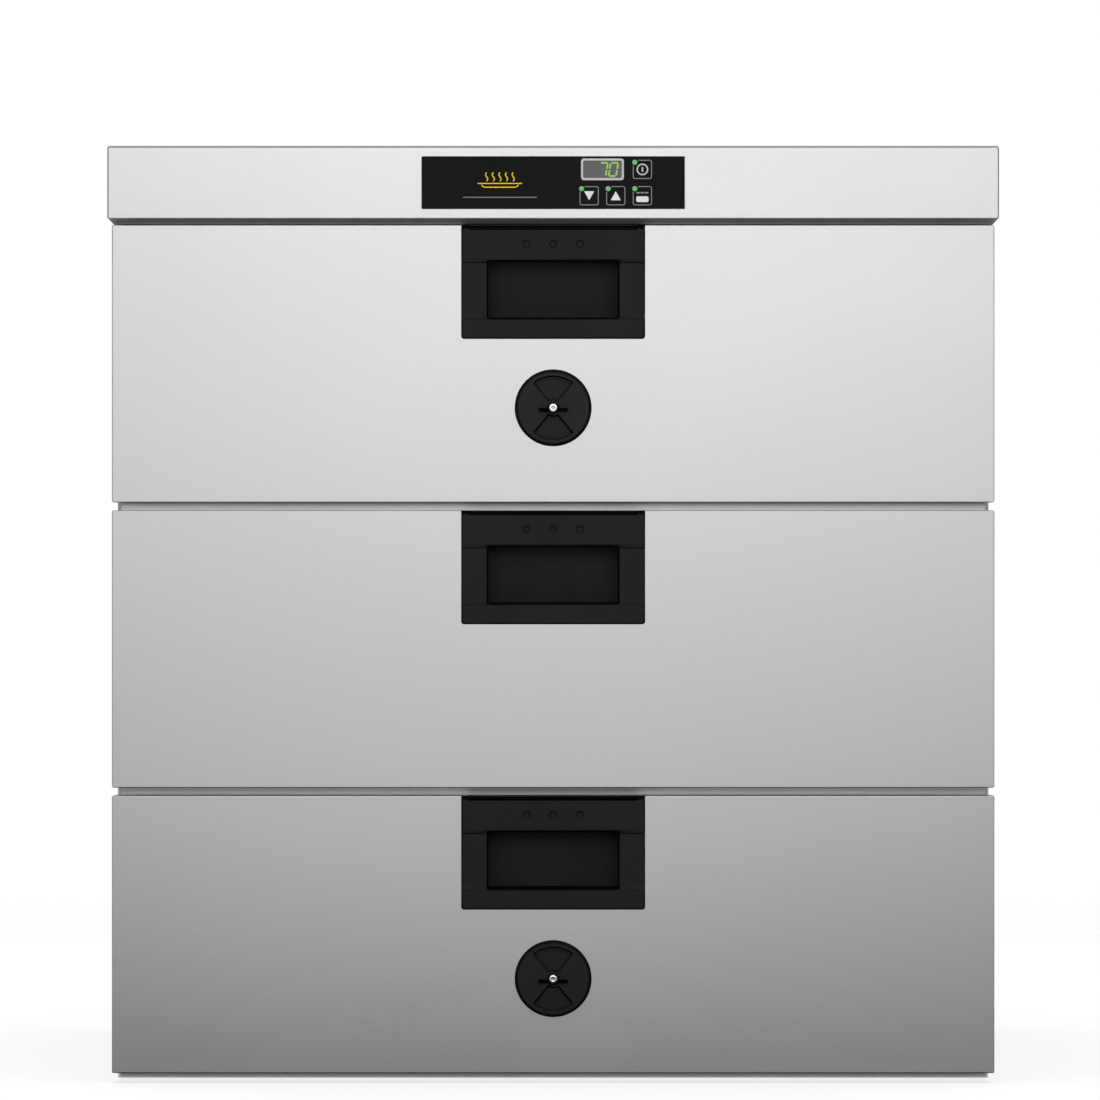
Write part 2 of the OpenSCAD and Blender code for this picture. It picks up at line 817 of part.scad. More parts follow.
module front_frame() {
    half = body_w / 2;
    inner = half - face_sheet;
    edge = opening_w / 2 + face_sheet;
    color(bright_steel)
        in_place()
            difference() {
                union() {
                    difference() {
                        along_z(foot_h, face_top_z)
                            translate([0, frame_face]) folded(-half, half, face_return, face_r);
                        along_z(foot_h + face_sheet, face_top_z + eps)
                            translate([0, frame_face + face_sheet])
                                folded(-inner, inner, face_return, face_r - face_sheet);
                    }
                    for (row = rows)
                        box(
                            [-edge, frame_face, opening_z(row) - face_sheet],
                            [edge, return_back, opening_z(row) + opening_h + face_sheet]
                        );
                }
                for (row = rows)
                    box(
                        [-opening_w / 2, frame_face - eps, opening_z(row)],
                        [opening_w / 2, return_back + eps, opening_z(row) + opening_h]
                    );
            }
}

seam = 0.2; // clearance where one sheet tucks in beside another
lap_d = 10; // depth of the edge tucked in behind the front frame's fold
joggle = 3; // depth of the step that leads to it
module side_panel() {
    half = body_w / 2;
    lap_x = half - face_sheet;
    color(bright_steel)
        in_place() {
            box([half - skin_sheet, return_back, foot_h], [half, body_d, face_top_z]);
            box(
                [lap_x - skin_sheet, return_back, base_top + seam],
                [half, return_back + joggle, deck_z - seam]
            );
            box(
                [lap_x - skin_sheet, return_back - lap_d, base_top + seam],
                [lap_x, return_back + joggle, deck_z - seam]
            );
            difference() {
                box(
                    [half - rear_flange, wool_back, base_top],
                    [half - skin_sheet + eps / 2, panel_y0, deck_z]
                );
                rear_screws() pin_y(0, 0, screw_r + fit, wool_back - eps, panel_y0 + eps);
            }
        }
}

// Places of the screws down the right edge of the back panel
module rear_screws() {
    edge = 30;
    count = 5;
    step = (deck_z - foot_h - 2 * edge) / (count - 1);
    for (i = [0:count - 1])
        translate([body_w / 2 - rear_flange / 2, 0, foot_h + edge + i * step]) children();
}

// Places of the screws along the top of the back panel
module hood_screws() {
    shares = [-0.4, 0, 0.4]; // of the hood's width
    for (share = shares)
        translate([share * hood_w, 0, hood_top - hood_sheet - hood_flange / 2]) children();
}

module back_panel() {
    slot_w = 34;
    slot_h = 3.5;
    slot_r = 1.7;
    slot_pitch = 7;
    slot_count = 3;
    slot_shares = [-0.36, -0.24, -0.12, 0]; // of the hood's width
    half = body_w / 2 - skin_sheet;
    upper = hood_w / 2 - hood_sheet - seam;
    color(bright_steel)
        in_place()
            difference() {
                union() {
                    box([-half, panel_y0, foot_h], [half, body_d, face_top_z]);
                    box([-upper, panel_y0, face_top_z - eps], [upper, body_d, hood_top - hood_sheet]);
                }
                for (share = slot_shares, i = [0:slot_count - 1])
                    translate([share * hood_w, 0, gland_z + (i - (slot_count - 1) / 2) * slot_pitch])
                        along_y(panel_y0 - eps, body_d + eps)
                            round_rect([-slot_w / 2, -slot_h / 2], [slot_w / 2, slot_h / 2], slot_r);
                pin_y(gland_x, gland_z, gland_thread / 2 + fit, panel_y0 - eps, body_d + eps);
                mirrored() rear_screws() pin_y(0, 0, screw_r + fit, panel_y0 - eps, body_d + eps);
                hood_screws() pin_y(0, 0, screw_r + fit, panel_y0 - eps, body_d + eps);
            }
}

module base_panel() {
    half = body_w / 2 - skin_sheet;
    color(dull_steel)
        in_place()
            difference() {
                union() {
                    box([-half, return_back, foot_h], [half, panel_y0, base_top]);
                    mirrored()
                        box(
                            [half - base_sheet, return_back + joggle + seam, foot_h],
                            [half, wool_back - seam, base_top + fold_h]
                        );
                }
                foot_places() cylinder(r = foot_stud_d / 2 + fit, h = 4 * foot_h, center = true);
            }
}

module deck_panel() {
    half = body_w / 2 - skin_sheet;
    plate_half = body_w / 2 - face_sheet - seam;
    color(dull_steel)
        in_place()
            difference() {
                union() {
                    box([-plate_half, frame_face + face_sheet, deck_z], [plate_half, panel_y0, face_top_z]);
                    mirrored()
                        box(
                            [half - base_sheet, return_back + joggle + seam, deck_z - fold_h],
                            [half, wool_back - seam, face_top_z]
                        );
                }
                for (s = sides)
                    translate([s * loom_x, loom_y, deck_z])
                        cylinder(r = loom_r + tube_room, h = 4 * skin_sheet, center = true);
            }
}

module foot_places() {
    for (x = [-1, 1] * (body_w / 2 - foot_inset_x), y = [frame_face + foot_inset_y, body_d - foot_inset_y])
        translate([x, y, foot_h]) children();
}

module feet() {
    chamfer = 1;
    color(black_rubber)
        in_place()
            foot_places() {
                rotate_extrude()
                    polygon([
                        [0, 0], [foot_d / 2, 0], [foot_d / 2, chamfer - foot_h],
                        [foot_d / 2 - chamfer, -foot_h], [0, -foot_h]
                    ]);
                cylinder(r = foot_stud_d / 2, h = base_sheet);
            }
}

module chamber_liner() {
    half = opening_w / 2;
    before = liner_back - eps;
    behind = liner_back + 2 * liner_sheet;
    color(bright_steel)
        in_place()
            difference() {
                union() {
                    difference() {
                        box(
                            [-half - liner_sheet, return_back, liner_bottom - liner_sheet],
                            [half + liner_sheet, liner_back + liner_sheet, liner_top + liner_sheet]
                        );
                        box([-half, return_back - eps, liner_bottom], [half, liner_back, liner_top]);
                    }
                    for (row = [middle, top])
                        box(
                            [-half - liner_sheet / 2, return_back, shelf_z(row) - liner_sheet],
                            [half + liner_sheet / 2, liner_back + liner_sheet / 2, shelf_z(row)]
                        );
                    heater_saddles();
                }
                for (row = rows) {
                    for (s = sides)
                        pin_y(s * loom_x, coil_z(row), heater_r + tube_room / 2, before, behind);
                    pin_y(probe_x, probe_z(row), probe_d / 2 + fit, before, behind);
                }
            }
}

module chamber_insulation() {
    half = body_w / 2 - face_sheet - skin_sheet - wool_gap;
    inner = opening_w / 2 + liner_sheet + wool_gap;
    color(wool_yellow)
        in_place()
            difference() {
                box(
                    [-half, return_back + joggle + seam, base_top + wool_gap],
                    [half, wool_back - wool_gap, deck_z - wool_gap]
                );
                box(
                    [-inner, return_back - eps, liner_bottom - liner_sheet - wool_gap],
                    [inner, liner_back + liner_sheet + wool_gap, liner_top + liner_sheet + wool_gap]
                );
                mirrored()
                    box(
                        [loom_x - loom_room, liner_back, liner_bottom],
                        [-probe_x + loom_room, loom_y + loom_room, deck_z]
                    );
            }
}

// The hood's outline: upright faces over a slope of 45 degrees, and round top edges
module hood_section(half, front, floor_z, shoulder_z, ceiling, r) {
    reach = shoulder_z - floor_z;
    intersection() {
        along_y(front, body_d + eps)
            union() {
                polygon([
                    [-half + reach, floor_z], [half - reach, floor_z], [half, shoulder_z],
                    [half, ceiling - r], [-half, ceiling - r], [-half, shoulder_z]
                ]);
                translate([-half + r, shoulder_z]) square([2 * (half - r), ceiling - shoulder_z]);
                for (s = sides)
                    translate([s * (half - r), ceiling - r]) circle(r);
            }
        along_x(-half, half)
            union() {
                polygon([
                    [front + reach, floor_z], [body_d + eps, floor_z], [body_d + eps, ceiling],
                    [front + r, ceiling], [front + r, ceiling - r], [front, ceiling - r],
                    [front, shoulder_z]
                ]);
                translate([front + r, ceiling - r]) circle(r);
            }
    }
}

module hood() {
    half = hood_w / 2;
    color(bright_steel)
        in_place() {
            difference() {
                hood_section(half, -hood_proud, slope_z, hood_face_z, hood_top, hood_r);
                hood_hollow(half);
                box(
                    [-body_w / 2, frame_face, slope_z - eps],
                    [body_w / 2, body_d + 2 * eps, slope_z + hood_slope]
                );
                box([-hood_w, body_d, slope_z - eps], [hood_w, body_d + 2 * eps, hood_top + eps]);
                box(
                    [aperture_x0, -hood_proud - eps, fascia_z - aperture_half_h],
                    [aperture_x1, -hood_proud + hood_sheet + eps, fascia_z + aperture_half_h]
                );
            }
            difference() {
                box(
                    [-half + hood_sheet + seam, panel_y0 - hood_sheet, hood_top - hood_sheet - hood_flange],
                    [half - hood_sheet - seam, panel_y0, hood_top - hood_sheet / 2]
                );
                hood_screws() pin_y(0, 0, screw_r + fit, panel_y0 - hood_sheet - eps, panel_y0 + eps);
            }
        }
}

module hood_hollow(half) {
    lean = sqrt(2) - 1; // over a slope of 45 degrees, a sheet's inner bend sits this much higher
    hood_section(
        half - hood_sheet, -hood_proud + hood_sheet, slope_z + hood_sheet,
        hood_face_z + lean * hood_sheet, hood_top - hood_sheet, hood_r - hood_sheet
    );
}

// ---- Controls ----

// Column and row of each key, seen from the middle of the fascia
power_at = [key_column_x, key_row];
start_at = [key_column_x, -key_row];
up_at = [key_column_x - key_pitch_x, -key_row];
down_at = [key_column_x - 2 * key_pitch_x, -key_row];
key_places = [power_at, start_at, up_at, down_at];

module at_key(place) translate([place.x, 0, fascia_z + place.y]) children();

module square_y(w, r, y0, y1) along_y(y0, y1) round_rect([-w / 2, -w / 2], [w / 2, w / 2], r);

module control_fascia() {
    color(black_plastic)
        in_place()
            difference() {
                translate([0, 0, fascia_z])
                    along_y(fascia_front, fascia_back)
                        round_rect([-fascia_w / 2, -fascia_h / 2], [fascia_w / 2, fascia_h / 2], key_r / 2);
                for (place = key_places)
                    at_key(place) {
                        square_y(key_hole, key_r, fascia_front - eps, fascia_back + eps);
                        pin_y(-lamp_dx, lamp_dz, lamp_d / 2 + fit, fascia_front - eps, fascia_back + eps);
                    }
                at_key([display_x, key_row])
                    box(
                        [-display_w / 2 - fit, fascia_front - eps, -display_h / 2 - fit],
                        [display_w / 2 + fit, fascia_back + eps, display_h / 2 + fit]
                    );
            }
}

module display_window() {
    color(glass_grey)
        in_place()
            at_key([display_x, key_row])
                box(
                    [-display_w / 2, fascia_front - key_proud, -display_h / 2],
                    [display_w / 2, fascia_back + key_flange_t, display_h / 2]
                );
}

module key(place) {
    flange_y = fascia_back + key_gap;
    flange_back = flange_y + key_flange_t;
    front = fascia_front - key_proud;
    stem_y = board_y - switch_h - switch_gap - key_travel;
    color(black_plastic)
        in_place()
            at_key(place)
                difference() {
                    union() {
                        square_y(key_w, key_r, front, flange_back);
                        square_y(flange_w, key_r, flange_y, flange_back);
                        pin_y(0, 0, stem_d / 2, flange_y, stem_y);
                    }
                    pin_y(-lamp_dx, lamp_dz, lamp_d / 2 + key_gap, front - eps, flange_back + eps);
                }
}

module control_board() {
    edge = 1;
    post_inset = 3.2;
    digits = [13.5, 6];
    switch = switch_w / 2;
    rear = board_y + eps;
    x0 = aperture_x0 + edge;
    x1 = aperture_x1 - edge;
    half_h = aperture_half_h - edge;
    color(board_green)
        in_place() {
            box([x0, board_y, fascia_z - half_h], [x1, board_y + board_t, fascia_z + half_h]);
            for (x = [x0 + post_inset, x1 - post_inset], z = [-1, 1] * (half_h - post_inset))
                pin_y(x, fascia_z + z, post_r, fascia_back, rear);
            for (place = key_places)
                at_key(place) {
                    box([-switch, board_y - switch_h, -switch], [switch, rear, switch]);
                    pin_y(-lamp_dx, lamp_dz, lamp_d / 2, fascia_front - key_proud, rear);
                }
            at_key([display_x, key_row])
                box([-digits.x, fascia_back + key_flange_t, -digits.y], [digits.x, rear, digits.y]);
            box(
                [plug_x - plug_half, rear, loom_z - loom_r],
                [plug_x + plug_half, board_y + board_t + plug_len, loom_z + loom_r]
            );
        }
}

// ---- Heating and wiring ----

legs = 8;
coil_front_room = 52; // from the front of the slides to the bends
coil_rear_room = 45; // from the bends to the liner's back
coil_y0 = rail_y0 + coil_front_room;
coil_y1 = liner_back - coil_rear_room;
heater_r = heater_d / 2;
tube_room = 1;
probe_inset = 43.5;
probe_rise = 60;
probe_x = probe_inset - opening_w / 2;
loom_x = (legs - 1) / 2 * heater_pitch;
loom_r = loom_d / 2;
branch_thinner = 0.8;
branch_r = loom_r - branch_thinner;
loom_room = 9;
loom_inset = 12;
terminal_len = 5;
terminal_y = liner_back + liner_sheet + terminal_len;
loom_back = 12; // from the liner to the looms behind it
loom_y = liner_back + liner_sheet + loom_back;
unit_half = 60;
unit_d = 100;
unit_rear_room = 15;
unit_low = [-unit_half, liner_back - unit_rear_room - unit_d];
unit_high = [unit_half, liner_back - unit_rear_room];
unit_foot = 3;
unit_h = 27;
unit_leg_r = 4;
loom_z = face_top_z + unit_foot + loom_d;
plug_x = 45;
plug_half = 6;
plug_len = 4;
block_half = 20;
block_d = 30;
block_rear_room = 10;
block_low = [gland_x - block_half, liner_back - block_rear_room - block_d];
block_high = [gland_x + block_half, liner_back - block_rear_room];

function probe_z(row) = opening_z(row) + probe_rise;

function leg_x(i) = (i - (legs - 1) / 2) * heater_pitch;

// Blocks on the shelves that cradle the legs of the heating elements
module heater_saddles() {
    saddle_w = 12;
    saddle_l = 10;
    saddle_drop = 1.5; // from the middle of the tube to the top of its saddle
    inset = 40;
    for (row = rows, i = [0, legs / 2 - 1, legs / 2, legs - 1], y = [coil_y0 + inset, coil_y1 - inset])
        difference() {
            box(
                [leg_x(i) - saddle_w / 2, y, shelf_z(row) - liner_sheet / 2],
                [leg_x(i) + saddle_w / 2, y + saddle_l, coil_z(row) - saddle_drop]
            );
            pin_y(leg_x(i), coil_z(row), heater_r + wool_gap, y - eps, y + saddle_l + eps);
        }
}

module heating_elements() {
    color(dull_steel)
        in_place()
            for (row = rows) {
                z = coil_z(row);
                for (i = [0:legs - 1]) {
                    outer = i == 0 || i == legs - 1;
                    pin_y(leg_x(i), z, heater_r, coil_y0, outer ? terminal_y : coil_y1);
                }
                for (i = [0:legs - 2]) {
                    front = i % 2 == 0;
                    translate([leg_x(i + 0.5), front ? coil_y0 : coil_y1, z])
                        rotate([0, 0, front ? 180 : 0])
                            rotate_extrude(angle = 180) translate([heater_pitch / 2, 0]) circle(heater_r);
                }
            }
}

module temperature_probes() {
    collar = 3;
    color(dull_steel)
        in_place()
            for (row = rows) {
                pin_y(probe_x, probe_z(row), probe_d / 2, liner_back - probe_len, loom_y);
                pin_y(probe_x, probe_z(row), probe_d / 2 + collar, liner_back - collar, liner_back);
            }
}

// A loom of straight runs, with a round elbow at each corner
module route(points, r) {
    for (i = [0:len(points) - 2]) {
        d = points[i + 1] - points[i];
        translate(points[i])
            rotate([0, acos(d.z / norm(d)), atan2(d.y, d.x)])
                cylinder(r = r, h = norm(d));
    }
    for (i = [1:len(points) - 2])
        translate(points[i]) sphere(r);
}

module wiring_harness() {
    unit_y1 = unit_high.y;
    color("#b8532e")
        in_place() {
            for (s = sides)
                route([
                    [s * loom_x, loom_y, coil_z(bottom) - heater_r],
                    [s * loom_x, loom_y, loom_z],
                    [s * (unit_high.x - loom_inset), loom_y, loom_z],
                    [s * (unit_high.x - loom_inset), unit_y1, loom_z]
                ], loom_r);
            for (row = rows) {
                for (s = sides)
                    pin_y(s * loom_x, coil_z(row), branch_r, terminal_y, loom_y);
                pin_x(loom_y, probe_z(row), branch_r, probe_x + probe_d / 2, -loom_x);
            }
            pin_y(plug_x, loom_z, loom_r, board_y + board_t + plug_len, unit_low.y);
            pin_x((block_low.y + block_high.y) / 2, loom_z, loom_r, unit_high.x, block_low.x);
        }
}

module power_unit() {
    inset = 8;
    block_h = 20;
    color("#5b5f63")
        in_place() {
            box(
                [unit_low.x, unit_low.y, face_top_z + unit_foot],
                [unit_high.x, unit_high.y, face_top_z + unit_foot + unit_h]
            );
            for (s = sides, y = [unit_low.y + inset, unit_high.y - inset])
                translate([s * (unit_half - inset), y, face_top_z])
                    cylinder(r = unit_leg_r, h = unit_foot + eps);
            box(
                [block_low.x, block_low.y, face_top_z],
                [block_high.x, block_high.y, face_top_z + block_h]
            );
        }
}

module cable_gland() {
    nut_wall = 4;
    cap_wall = 1.5;
    nut_r = gland_thread / 2 + nut_wall;
    cap_r = gland_thread / 2 + cap_wall;
    nut_t = 4;
    body_t = 7;
    inside = 11;
    color(black_plastic)
        in_place()
            difference() {
                union() {
                    pin_y(gland_x, gland_z, gland_thread / 2, panel_y0 - inside, body_d + eps);
                    translate([gland_x, panel_y0, gland_z])
                        rotate([90, 0, 0]) cylinder(r = nut_r, h = nut_t, $fn = 6);
                    translate([gland_x, body_d + body_t, gland_z])
                        rotate([90, 0, 0]) cylinder(r = nut_r, h = body_t, $fn = 6);
                    pin_y(gland_x, gland_z, cap_r, body_d + body_t - eps, body_d + gland_proud);
                }
                pin_y(gland_x, gland_z, gland_bore / 2, panel_y0 - inside - eps, body_d + gland_proud + eps);
            }
}

module casing_screws() {
    color(dull_steel)
        in_place() {
            mirrored() rear_screws() casing_screw(wool_back);
            hood_screws() casing_screw(panel_y0 - hood_sheet);
        }
}

module casing_screw(tip) {
    pin_y(0, 0, screw_r, tip, body_d + eps);
    pin_y(0, 0, screw_head_r, body_d, body_d + screw_head_t);
}

// ---- Nodes ----

base_panel();
mirror([1, 0, 0]) side_panel();  // left_side_panel
side_panel();  // right_side_panel
back_panel();
deck_panel();
front_frame();
chamber_liner();
chamber_insulation();
hood();
control_fascia();
display_window();
key(power_at);  // power_key
key(start_at);  // start_key
key(up_at);  // up_key
key(down_at);  // down_key
control_board();
power_unit();
wiring_harness();
cable_gland();
heating_elements();
temperature_probes();
feet();
cabinet_rails();
casing_screws();
front_skin(top);  // top_front_skin
inner_panel(top);  // top_inner_panel
front_insulation(top);  // top_front_insulation
gasket(top);  // top_gasket
handle(top);  // top_handle
drawer_frame(top);  // top_drawer_frame
pan(top);  // top_pan
drawer_rails(top);  // top_drawer_rails
slide_middles(top);  // top_slide_middles
fixings(top);  // top_fixings
vent_base(top);  // top_vent_base
vent_disc(top);  // top_vent_disc
vent_pivot(top);  // top_vent_pivot
front_skin(middle);  // middle_front_skin
inner_panel(middle);  // middle_inner_panel
front_insulation(middle);  // middle_front_insulation
gasket(middle);  // middle_gasket
handle(middle);  // middle_handle
drawer_frame(middle);  // middle_drawer_frame
pan(middle);  // middle_pan
drawer_rails(middle);  // middle_drawer_rails
slide_middles(middle);  // middle_slide_middles
fixings(middle);  // middle_fixings
front_skin(bottom);  // bottom_front_skin
inner_panel(bottom);  // bottom_inner_panel
front_insulation(bottom);  // bottom_front_insulation
gasket(bottom);  // bottom_gasket
handle(bottom);  // bottom_handle
drawer_frame(bottom);  // bottom_drawer_frame
pan(bottom);  // bottom_pan
drawer_rails(bottom);  // bottom_drawer_rails
slide_middles(bottom);  // bottom_slide_middles
fixings(bottom);  // bottom_fixings
vent_base(bottom);  // bottom_vent_base
vent_disc(bottom);  // bottom_vent_disc
vent_pivot(bottom);  // bottom_vent_pivot
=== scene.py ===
"""Finishes the warming drawer unit: its steel, plastics and controls, and the studio around it.

Sizes are in metres. X runs across the front, the drawers pull out towards -Y, and Z is up.
"""

import functools
import math

import bmesh
import bpy
from bpy.props import FloatProperty, FloatVectorProperty, IntProperty, PointerProperty
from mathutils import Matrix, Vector


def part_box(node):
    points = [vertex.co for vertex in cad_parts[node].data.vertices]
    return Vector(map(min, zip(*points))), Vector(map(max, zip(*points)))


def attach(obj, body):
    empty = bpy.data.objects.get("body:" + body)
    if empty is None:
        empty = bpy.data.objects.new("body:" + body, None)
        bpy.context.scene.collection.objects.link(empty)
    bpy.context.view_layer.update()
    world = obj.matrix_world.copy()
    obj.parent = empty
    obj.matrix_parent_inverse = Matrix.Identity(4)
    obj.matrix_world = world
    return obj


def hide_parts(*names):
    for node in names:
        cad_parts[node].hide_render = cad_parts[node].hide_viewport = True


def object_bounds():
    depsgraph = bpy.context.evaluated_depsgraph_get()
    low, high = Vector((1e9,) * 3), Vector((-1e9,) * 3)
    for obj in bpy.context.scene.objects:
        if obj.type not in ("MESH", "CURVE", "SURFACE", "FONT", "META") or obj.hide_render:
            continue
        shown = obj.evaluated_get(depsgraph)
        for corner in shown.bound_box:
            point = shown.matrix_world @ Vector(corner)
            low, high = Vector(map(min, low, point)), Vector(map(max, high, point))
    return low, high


bl_info = {
    "name": "Warming Drawer Unit",
    "version": (1, 0, 0),
    "blender": (4, 5, 0),
    "location": "View3D > Sidebar > Warming Drawer",
    "description": "Finishes a three-drawer warming unit and sets a studio around it",
    "category": "Object",
}

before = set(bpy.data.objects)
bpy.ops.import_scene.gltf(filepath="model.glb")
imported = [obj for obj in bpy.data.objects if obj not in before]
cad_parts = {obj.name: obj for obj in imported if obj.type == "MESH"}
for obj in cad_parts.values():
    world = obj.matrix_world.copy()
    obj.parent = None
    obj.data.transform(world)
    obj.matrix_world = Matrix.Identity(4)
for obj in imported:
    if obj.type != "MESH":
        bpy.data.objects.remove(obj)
CAD_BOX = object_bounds()
FRONT_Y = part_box("top_front_skin")[0].y

ROWS = ("top", "middle", "bottom")
VENTED_ROWS = ("top", "bottom")
KEYS = ("power", "start", "up", "down")
SIDES = (-1, 1)
MM = 0.001
# The smallest radius that is drawn, the finest slope, and the finest gap or edge
LEAST_RADIUS = 0.02 * MM
HAIR = 0.05 * MM
FINE = 0.1 * MM
QUARTER = math.pi / 2
# Faces that meet at more than this angle show an edge
SHARP = math.radians(28)
# The black of the card that paints a dark reflection in the steel
BLACK = (0.02, 0.02, 0.02)
WHITE = (1, 1, 1)


# ---- Sizes and colours that can be set ----


def length(name, description, default):
    """A length in metres"""
    return FloatProperty(name=name, description=description, default=default, unit="LENGTH")


def watts(name, description, default):
    """The power of a lamp"""
    return FloatProperty(name=name, description=description, default=default, unit="POWER")


def share(name, description, default):
    """A number from 0 to 1"""
    return FloatProperty(
        name=name, description=description, default=default, min=0, max=1, subtype="FACTOR",
    )


def tint(name, description, default):
    """A colour of red, green and blue parts"""
    return FloatVectorProperty(
        name=name, description=description, default=default, min=0, max=1, size=3, subtype="COLOR",
    )


class SteelFinish(bpy.types.PropertyGroup):
    """The outer sheet steel"""

    colour: tint("Colour", "Colour of the outer sheets", (0.66, 0.66, 0.66))
    roughness: share("Roughness", "How far the sheets scatter a reflection", 0.42)
    grain: share("Grain", "Strength of the ground grain in the sheets", 0.5)


class PlasticFinish(bpy.types.PropertyGroup):
    """The black mouldings"""

    colour: tint("Colour", "Colour of the handles and the vents", (0.004, 0.004, 0.004))
    roughness: share("Roughness", "How matt the mouldings are", 0.66)


class FrontSizes(bpy.types.PropertyGroup):
    """The folded drawer fronts"""

    edge: length("Edge radius", "Bend radius of the folded edges", 0.7 * MM)
    corner: length("Corner radius", "Radius of the four ground corners", 1.3 * MM)
    sheet: length("Sheet", "Thickness of the sheet", 1 * MM)
    notch_half: length("Half notch", "Half the width of the notch for the handle", 60 * MM)
    notch_height: length("Notch height", "Height of the notch for the handle", 75.3 * MM)


class HandleSizes(bpy.types.PropertyGroup):
    """The recessed handles"""

    proud: length("Plate", "How far the plate stands out from the front", 1.5 * MM)
    corner: length("Corner radius", "Radius of the plate's lower corners", 2 * MM)
    edge: length("Edge", "Width of the slope round the plate's edge", 1.1 * MM)
    mouth_width: length("Mouth width", "Width of the finger opening", 92.8 * MM)
    mouth_height: length("Mouth height", "Height of the finger opening", 41.4 * MM)
    mouth_drop: length("Mouth drop", "From the top of the plate to the opening", 23.6 * MM)
    mouth_corner: length("Mouth corner", "Corner radius of the finger opening", 2 * MM)
    mouth_lip: length("Mouth lip", "Radius of the edge of the finger opening", 1.9 * MM)
    band: length("Band depth", "Depth of the shallow band beside the opening", 0.8 * MM)
    slope: length("Slope", "Height of each slope that leads into the band", 2.8 * MM)
    groove: length("Top groove", "Height of the groove along the top of the plate", 2.1 * MM)
    groove_depth: length("Groove depth", "Depth of the groove behind the front's face", 11.5 * MM)
    lip: length("Lip radius", "Radius of the edge under the groove", 1.2 * MM)
    wall: length("Wall", "Wall thickness of the moulding", 2.5 * MM)
    dimple_pitch: length("Dimple pitch", "Distance between the three dimples", 18.5 * MM)
    dimple_radius: length("Dimple radius", "Radius of the three dimples", 3 * MM)
    dimple_drop: length("Dimple drop", "From the top of the plate to the dimples", 12.5 * MM)


class VentSizes(bpy.types.PropertyGroup):
    """The round vents"""

    rim: length("Rim", "Width of the flange's rim", 2 * MM)
    sleeve: length("Sleeve", "Radius of the sleeve that goes through the front", 22 * MM)
    window_inner: length("Window inside", "Inner radius of the windows", 5.2 * MM)
    window_outer: length("Window outside", "Outer radius of the disc's windows", 22.4 * MM)
    window_half: FloatProperty(
        name="Window half angle", description="Half of the angle that a window spans",
        default=math.radians(39.5), subtype="ANGLE",
    )
    window_draft: length("Window draft", "How far a window narrows towards its back", 1 * MM)
    hub: length("Hub", "Radius of the disc's hub", 4.3 * MM)


class ControlSizes(bpy.types.PropertyGroup):
    """The print and the display on the fascia"""

    line: length("Line", "Width of the frame around a key", 0.55 * MM)
    ink: length("Ink", "Thickness of the print", 0.04 * MM)
    digit_height: length("Digit height", "Height of the display's digits", 9.2 * MM)
    reading: IntProperty(
        name="Reading", description="Temperature on the display", default=70, min=0, max=199,
    )
    digit_colour: tint("Digits", "Colour of the lit digits", (0.27, 0.5, 0.045))
    lamp_colour: tint("Lamps", "Colour of the indicator lamps", (0.1, 0.44, 0.13))
    emblem_colour: tint("Emblem", "Colour of the line drawing on the fascia", (0.85, 0.62, 0.0))


class PanSizes(bpy.types.PropertyGroup):
    """The food pans"""

    rim: length("Rim", "Width of the flat rim", 12.5 * MM)
    rim_corner: length("Rim corner", "Corner radius of the rim", 14 * MM)
    well_corner: length("Well corner", "Corner radius of the well", 38 * MM)
    base_radius: length("Base radius", "Radius between the wall and the base", 16 * MM)
    taper: length("Taper", "How far each wall leans in towards the base", 4 * MM)
    sheet: length("Sheet", "Thickness of the sheet", 1 * MM)


class Studio(bpy.types.PropertyGroup):
    """The floor, the lamps and the camera"""

    distance: length("Camera distance", "From the camera to the hood", 4)
    eye_height: length("Camera height", "Height of the camera", 0.3709)
    eye_shift: length("Camera side", "How far the camera stands to the right", -2.2 * MM)
    view_width: length("View width", "Width of the view at the hood", 0.7645)
    key_power: watts("Key lamp", "Power of the softbox in front", 12.3)
    floor_power: watts("Floor lamp", "Power of the lamp over the floor", 92)
    room: share("Room", "Brightness of the room", 0.3)
    ceiling: share("Ceiling", "Brightness of the ceiling", 0.55)


SETTINGS = {
    "steel_finish": SteelFinish,
    "plastic_finish": PlasticFinish,
    "front_sizes": FrontSizes,
    "handle_sizes": HandleSizes,
    "vent_sizes": VentSizes,
    "control_sizes": ControlSizes,
    "pan_sizes": PanSizes,
    "studio": Studio,
}


def setting(name):
    """The scene's values for one of the groups above"""
    return getattr(bpy.context.scene, name)


# ---- Shader maths ----


class Value:
    """A node's output, with Python's arithmetic on numbers"""

    def __init__(self, graph, socket):
        self.graph = graph
        self.socket = socket

    def math(self, operation, *values):
        inputs = dict(enumerate(values))
        return self.graph.node("ShaderNodeMath", {"operation": operation}, inputs)

    def __add__(self, other):
        return self.math("ADD", self, other)

    def __sub__(self, other):
        return self.math("SUBTRACT", self, other)

    def __mul__(self, other):
        return self.math("MULTIPLY", self, other)

    def __rsub__(self, other):
        return self.math("SUBTRACT", other, self)

    def __abs__(self):
        return self.math("ABSOLUTE", self)

    __radd__ = __add__
    __rmul__ = __mul__

    def clamped(self):
        return self.math("MAXIMUM", 0, self.math("MINIMUM", 1, self))

    def root(self):
        return self.math("SQRT", self)

    def swing(self, amount):
        """How far the value is from a half, times an amount"""
        return (self - 0.5) * amount

    def rise(self, low, high):
        """0 below low, 1 above high, and smooth in between"""
        settings = {"interpolation_type": "SMOOTHSTEP"}
        return self.graph.node("ShaderNodeMapRange", settings, {0: self, 1: low, 2: high})


